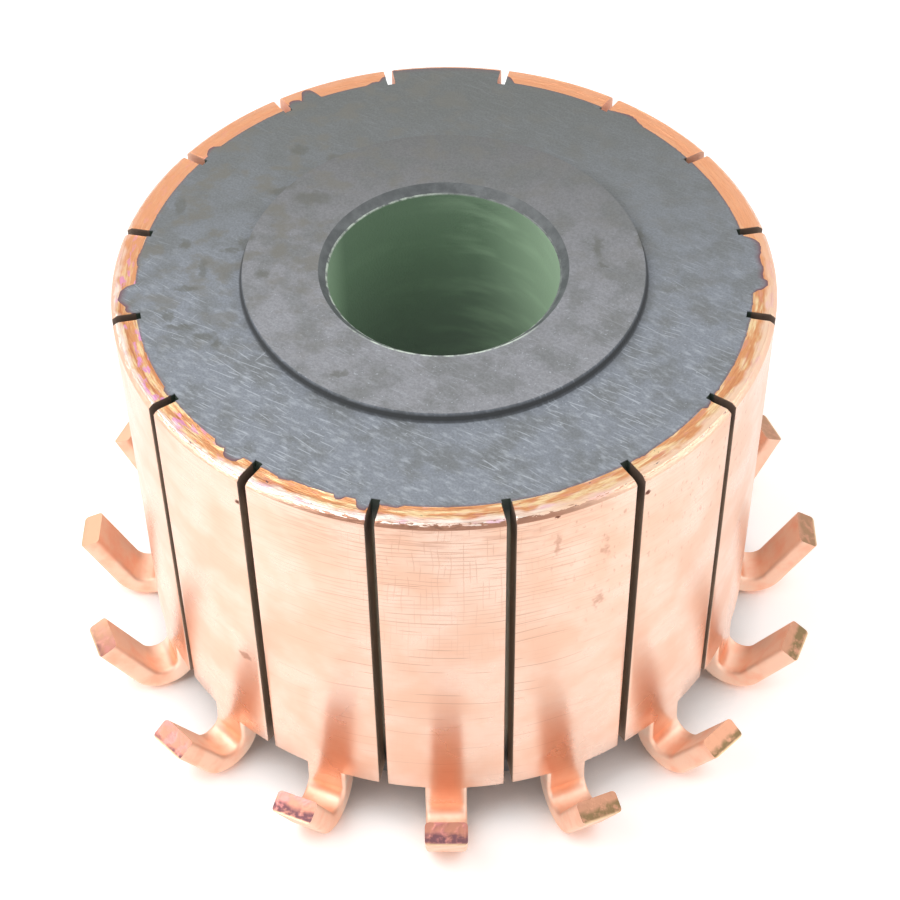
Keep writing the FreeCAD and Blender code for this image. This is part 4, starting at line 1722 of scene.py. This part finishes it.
@dataclass(frozen=True)
class View:
    """The photograph's camera, about the bore axis and the flat face."""

    elevation: float = 43.5278
    distance: float = 78.24
    turn: float = 1.2
    roll: float = -0.8865
    aim: Triple = (0.121, 0.0, -9.068)
    lens: float = 90.9
    sensor: float = 36.0
    clip_start: float = 1.0

    def build(self) -> None:
        """Make the camera and set it for the scene."""
        place = direction(0.0, self.elevation) * self.distance
        forward = (Vector(self.aim) - place).normalized()
        right = forward.cross(Vector((0.0, 0.0, 1.0))).normalized()
        up = right.cross(forward)
        roll = math.radians(self.roll)
        rolled_right = right * math.cos(roll) + up * math.sin(roll)
        rolled_up = up * math.cos(roll) - right * math.sin(roll)
        spin = Matrix.Rotation(math.radians(self.turn), 3, "Z")
        data = bpy.data.cameras.new("camera")
        data.lens = self.lens
        data.sensor_width = self.sensor
        data.clip_start = self.clip_start * MM
        camera = placed("camera", data)
        matrix = (spin @ Matrix((rolled_right, rolled_up, -forward)).transposed()).to_4x4()
        matrix.translation = (spin @ place + Vector((0.0, 0.0, SIZES.face_height))) * MM
        camera.matrix_world = matrix
        bpy.context.scene.camera = camera


@dataclass(frozen=True)
class Lamp:
    """A square white soft box that looks at the part."""

    name: str
    azimuth: float
    elevation: float
    distance: float
    size: float
    watts: float

    def build(self) -> None:
        """Make the lamp."""
        data = bpy.data.lights.new(self.name, "AREA")
        data.shape = "SQUARE"
        data.size = self.size * MM
        data.energy = self.watts
        lamp = placed(self.name, data)
        away = direction(self.azimuth, self.elevation)
        lamp.location = (Vector((0.0, 0.0, SIZES.face_height)) + away * self.distance) * MM
        lamp.rotation_euler = away.to_track_quat("Z", "Y").to_euler()


@dataclass
class Studio:
    """White paper, an even pale surround and soft lamps.

    The floor lies just below the collar's underside, so that the two don't share a plane. The hood is
    the darker patch of the surround where the photographer stood, as seen in the bars.
    """

    floor_half: float = 1500.0
    floor_drop: float = 0.02
    surround: Ramp = Ramp(0.0, 0.8, 0.22, 0.8)
    hood_elevation: float = 42.0
    hood_stretch: Triple = (0.5, 1.0, 1.2)
    hood: Ramp = Ramp(0.7 * 0.36, 1.3 * 0.36, low=0.55)
    lamps: tuple[Lamp, ...] = (
        Lamp("key_lamp", azimuth=-72.0, elevation=52.0, distance=80.0, size=70.0, watts=0.042),
        Lamp("fill_lamp", azimuth=80.0, elevation=38.0, distance=90.0, size=60.0, watts=0.014),
    )

    def build(self) -> None:
        """Make the floor, the surround and the lamps."""
        half, low = self.floor_half * MM, -self.floor_drop * MM
        mesh = bpy.data.meshes.new("paper_floor")
        corners = [(-half, -half, low), (half, -half, low), (half, half, low), (-half, half, low)]
        mesh.from_pydata(corners, [], [(0, 1, 2, 3)])
        mesh.materials.append(WhitePaper().build())
        floor = placed("paper_floor", mesh)
        for lamp in self.lamps:
            lamp.build()
        self.build_surround()

    def build_surround(self) -> None:
        """Light the part from all round, most from above, and show white but for the hood.

        The camera sees white everywhere, and mirrored rays see white beside the hood.
        """
        world = bpy.data.worlds.new("pale_surround")
        bpy.context.scene.world = world
        world.use_nodes = True
        tree = world.node_tree
        tree.nodes.clear()
        way = add_node(tree, "TexCoord", output="Generated")
        away = add_node(tree, "VectorMath", {0: way, 1: direction(0.0, self.hood_elevation)}, operation="SUBTRACT")
        away = add_node(tree, "VectorMath", {0: away, 1: self.hood_stretch}, operation="MULTIPLY")
        away = add_node(tree, "VectorMath", {0: away}, "Value", operation="LENGTH")
        clear = add_node(tree, "MapRange", self.hood.of(away), interpolation_type="SMOOTHSTEP")
        camera, glossy, through = (
            add_node(tree, "LightPath", output=f"Is {kind} Ray") for kind in ("Camera", "Glossy", "Transmission")
        )
        mirrored = add_node(tree, "Math", {0: glossy, 1: through}, operation="MAXIMUM")
        soft = add_node(tree, "MapRange", self.surround.of(add_node(tree, "SeparateXYZ", {0: way}, 2)))
        level = add_node(tree, "MapRange", {"Value": mirrored, "To Min": soft})
        level = add_node(tree, "Math", {0: level, 1: clear}, operation="MULTIPLY")
        level = add_node(tree, "Math", {0: level, 1: camera}, operation="MAXIMUM")
        light = add_node(tree, "Background", {"Color": "#FFFFFF", "Strength": level})
        output = tree.nodes.new("ShaderNodeOutputWorld")
        tree.links.new(light, output.inputs["Surface"])


# The bends of the hooks that the photograph shows, by bar number, anticlockwise from the front bar.
SEEN_BENDS = {
    1: HookBend(1.6, 0.0, 0.05),
    2: HookBend(1.6, -0.15, 0.12),
    3: HookBend(-1.4, -0.14, 0.16),
    4: HookBend(-4.0, -0.12, 0.09),
    5: HookBend(-1.0, -0.1, 0.05),
    13: HookBend(3.0, -0.03, 0.11),
    14: HookBend(-0.2, -0.12, -0.12),
    15: HookBend(-0.6, -0.22, -0.09),
    16: HookBend(2.8, -0.2, -0.03),
}


def hook_bends() -> list[HookBend]:
    """How each hook differs: as the photograph shows it, or by a little chance where it is hidden.

    Returns:
        A bend for each bar, in order.
    """
    random = Random(16)
    bends = []
    for number in range(1, SIZES.bar_count + 1):
        chance = HookBend(random.uniform(-1.5, 1.5), random.uniform(-0.1, 0.0), random.uniform(-0.05, 0.05))
        bends.append(SEEN_BENDS.get(number, chance))
    return bends


def main() -> None:
    """Build the studio, the core and the bars in order."""
    logging.basicConfig(level=logging.INFO, format="%(name)s: %(message)s")
    bpy.context.scene.view_settings.view_transform = "Standard"
    View().build()
    Studio().build()
    moulding = MouldedPhenolic().build()
    MouldedCore(moulding).build()
    finishes = {
        BarFace.TURNED: TurnedCopper().build(),
        BarFace.SAWN: SawnCopper().build(),
        BarFace.CUT_END: CutCopper().build(),
        BarFace.ROLLED: RolledCopper().build(),
        BarFace.SHEARED: ShearedCopper().build(),
    }
    for number, bend in enumerate(hook_bends(), start=1):
        CopperBar(number, bend).build(finishes)
    MouldFlash(moulding).build()


if __name__ == "__main__":
    main()
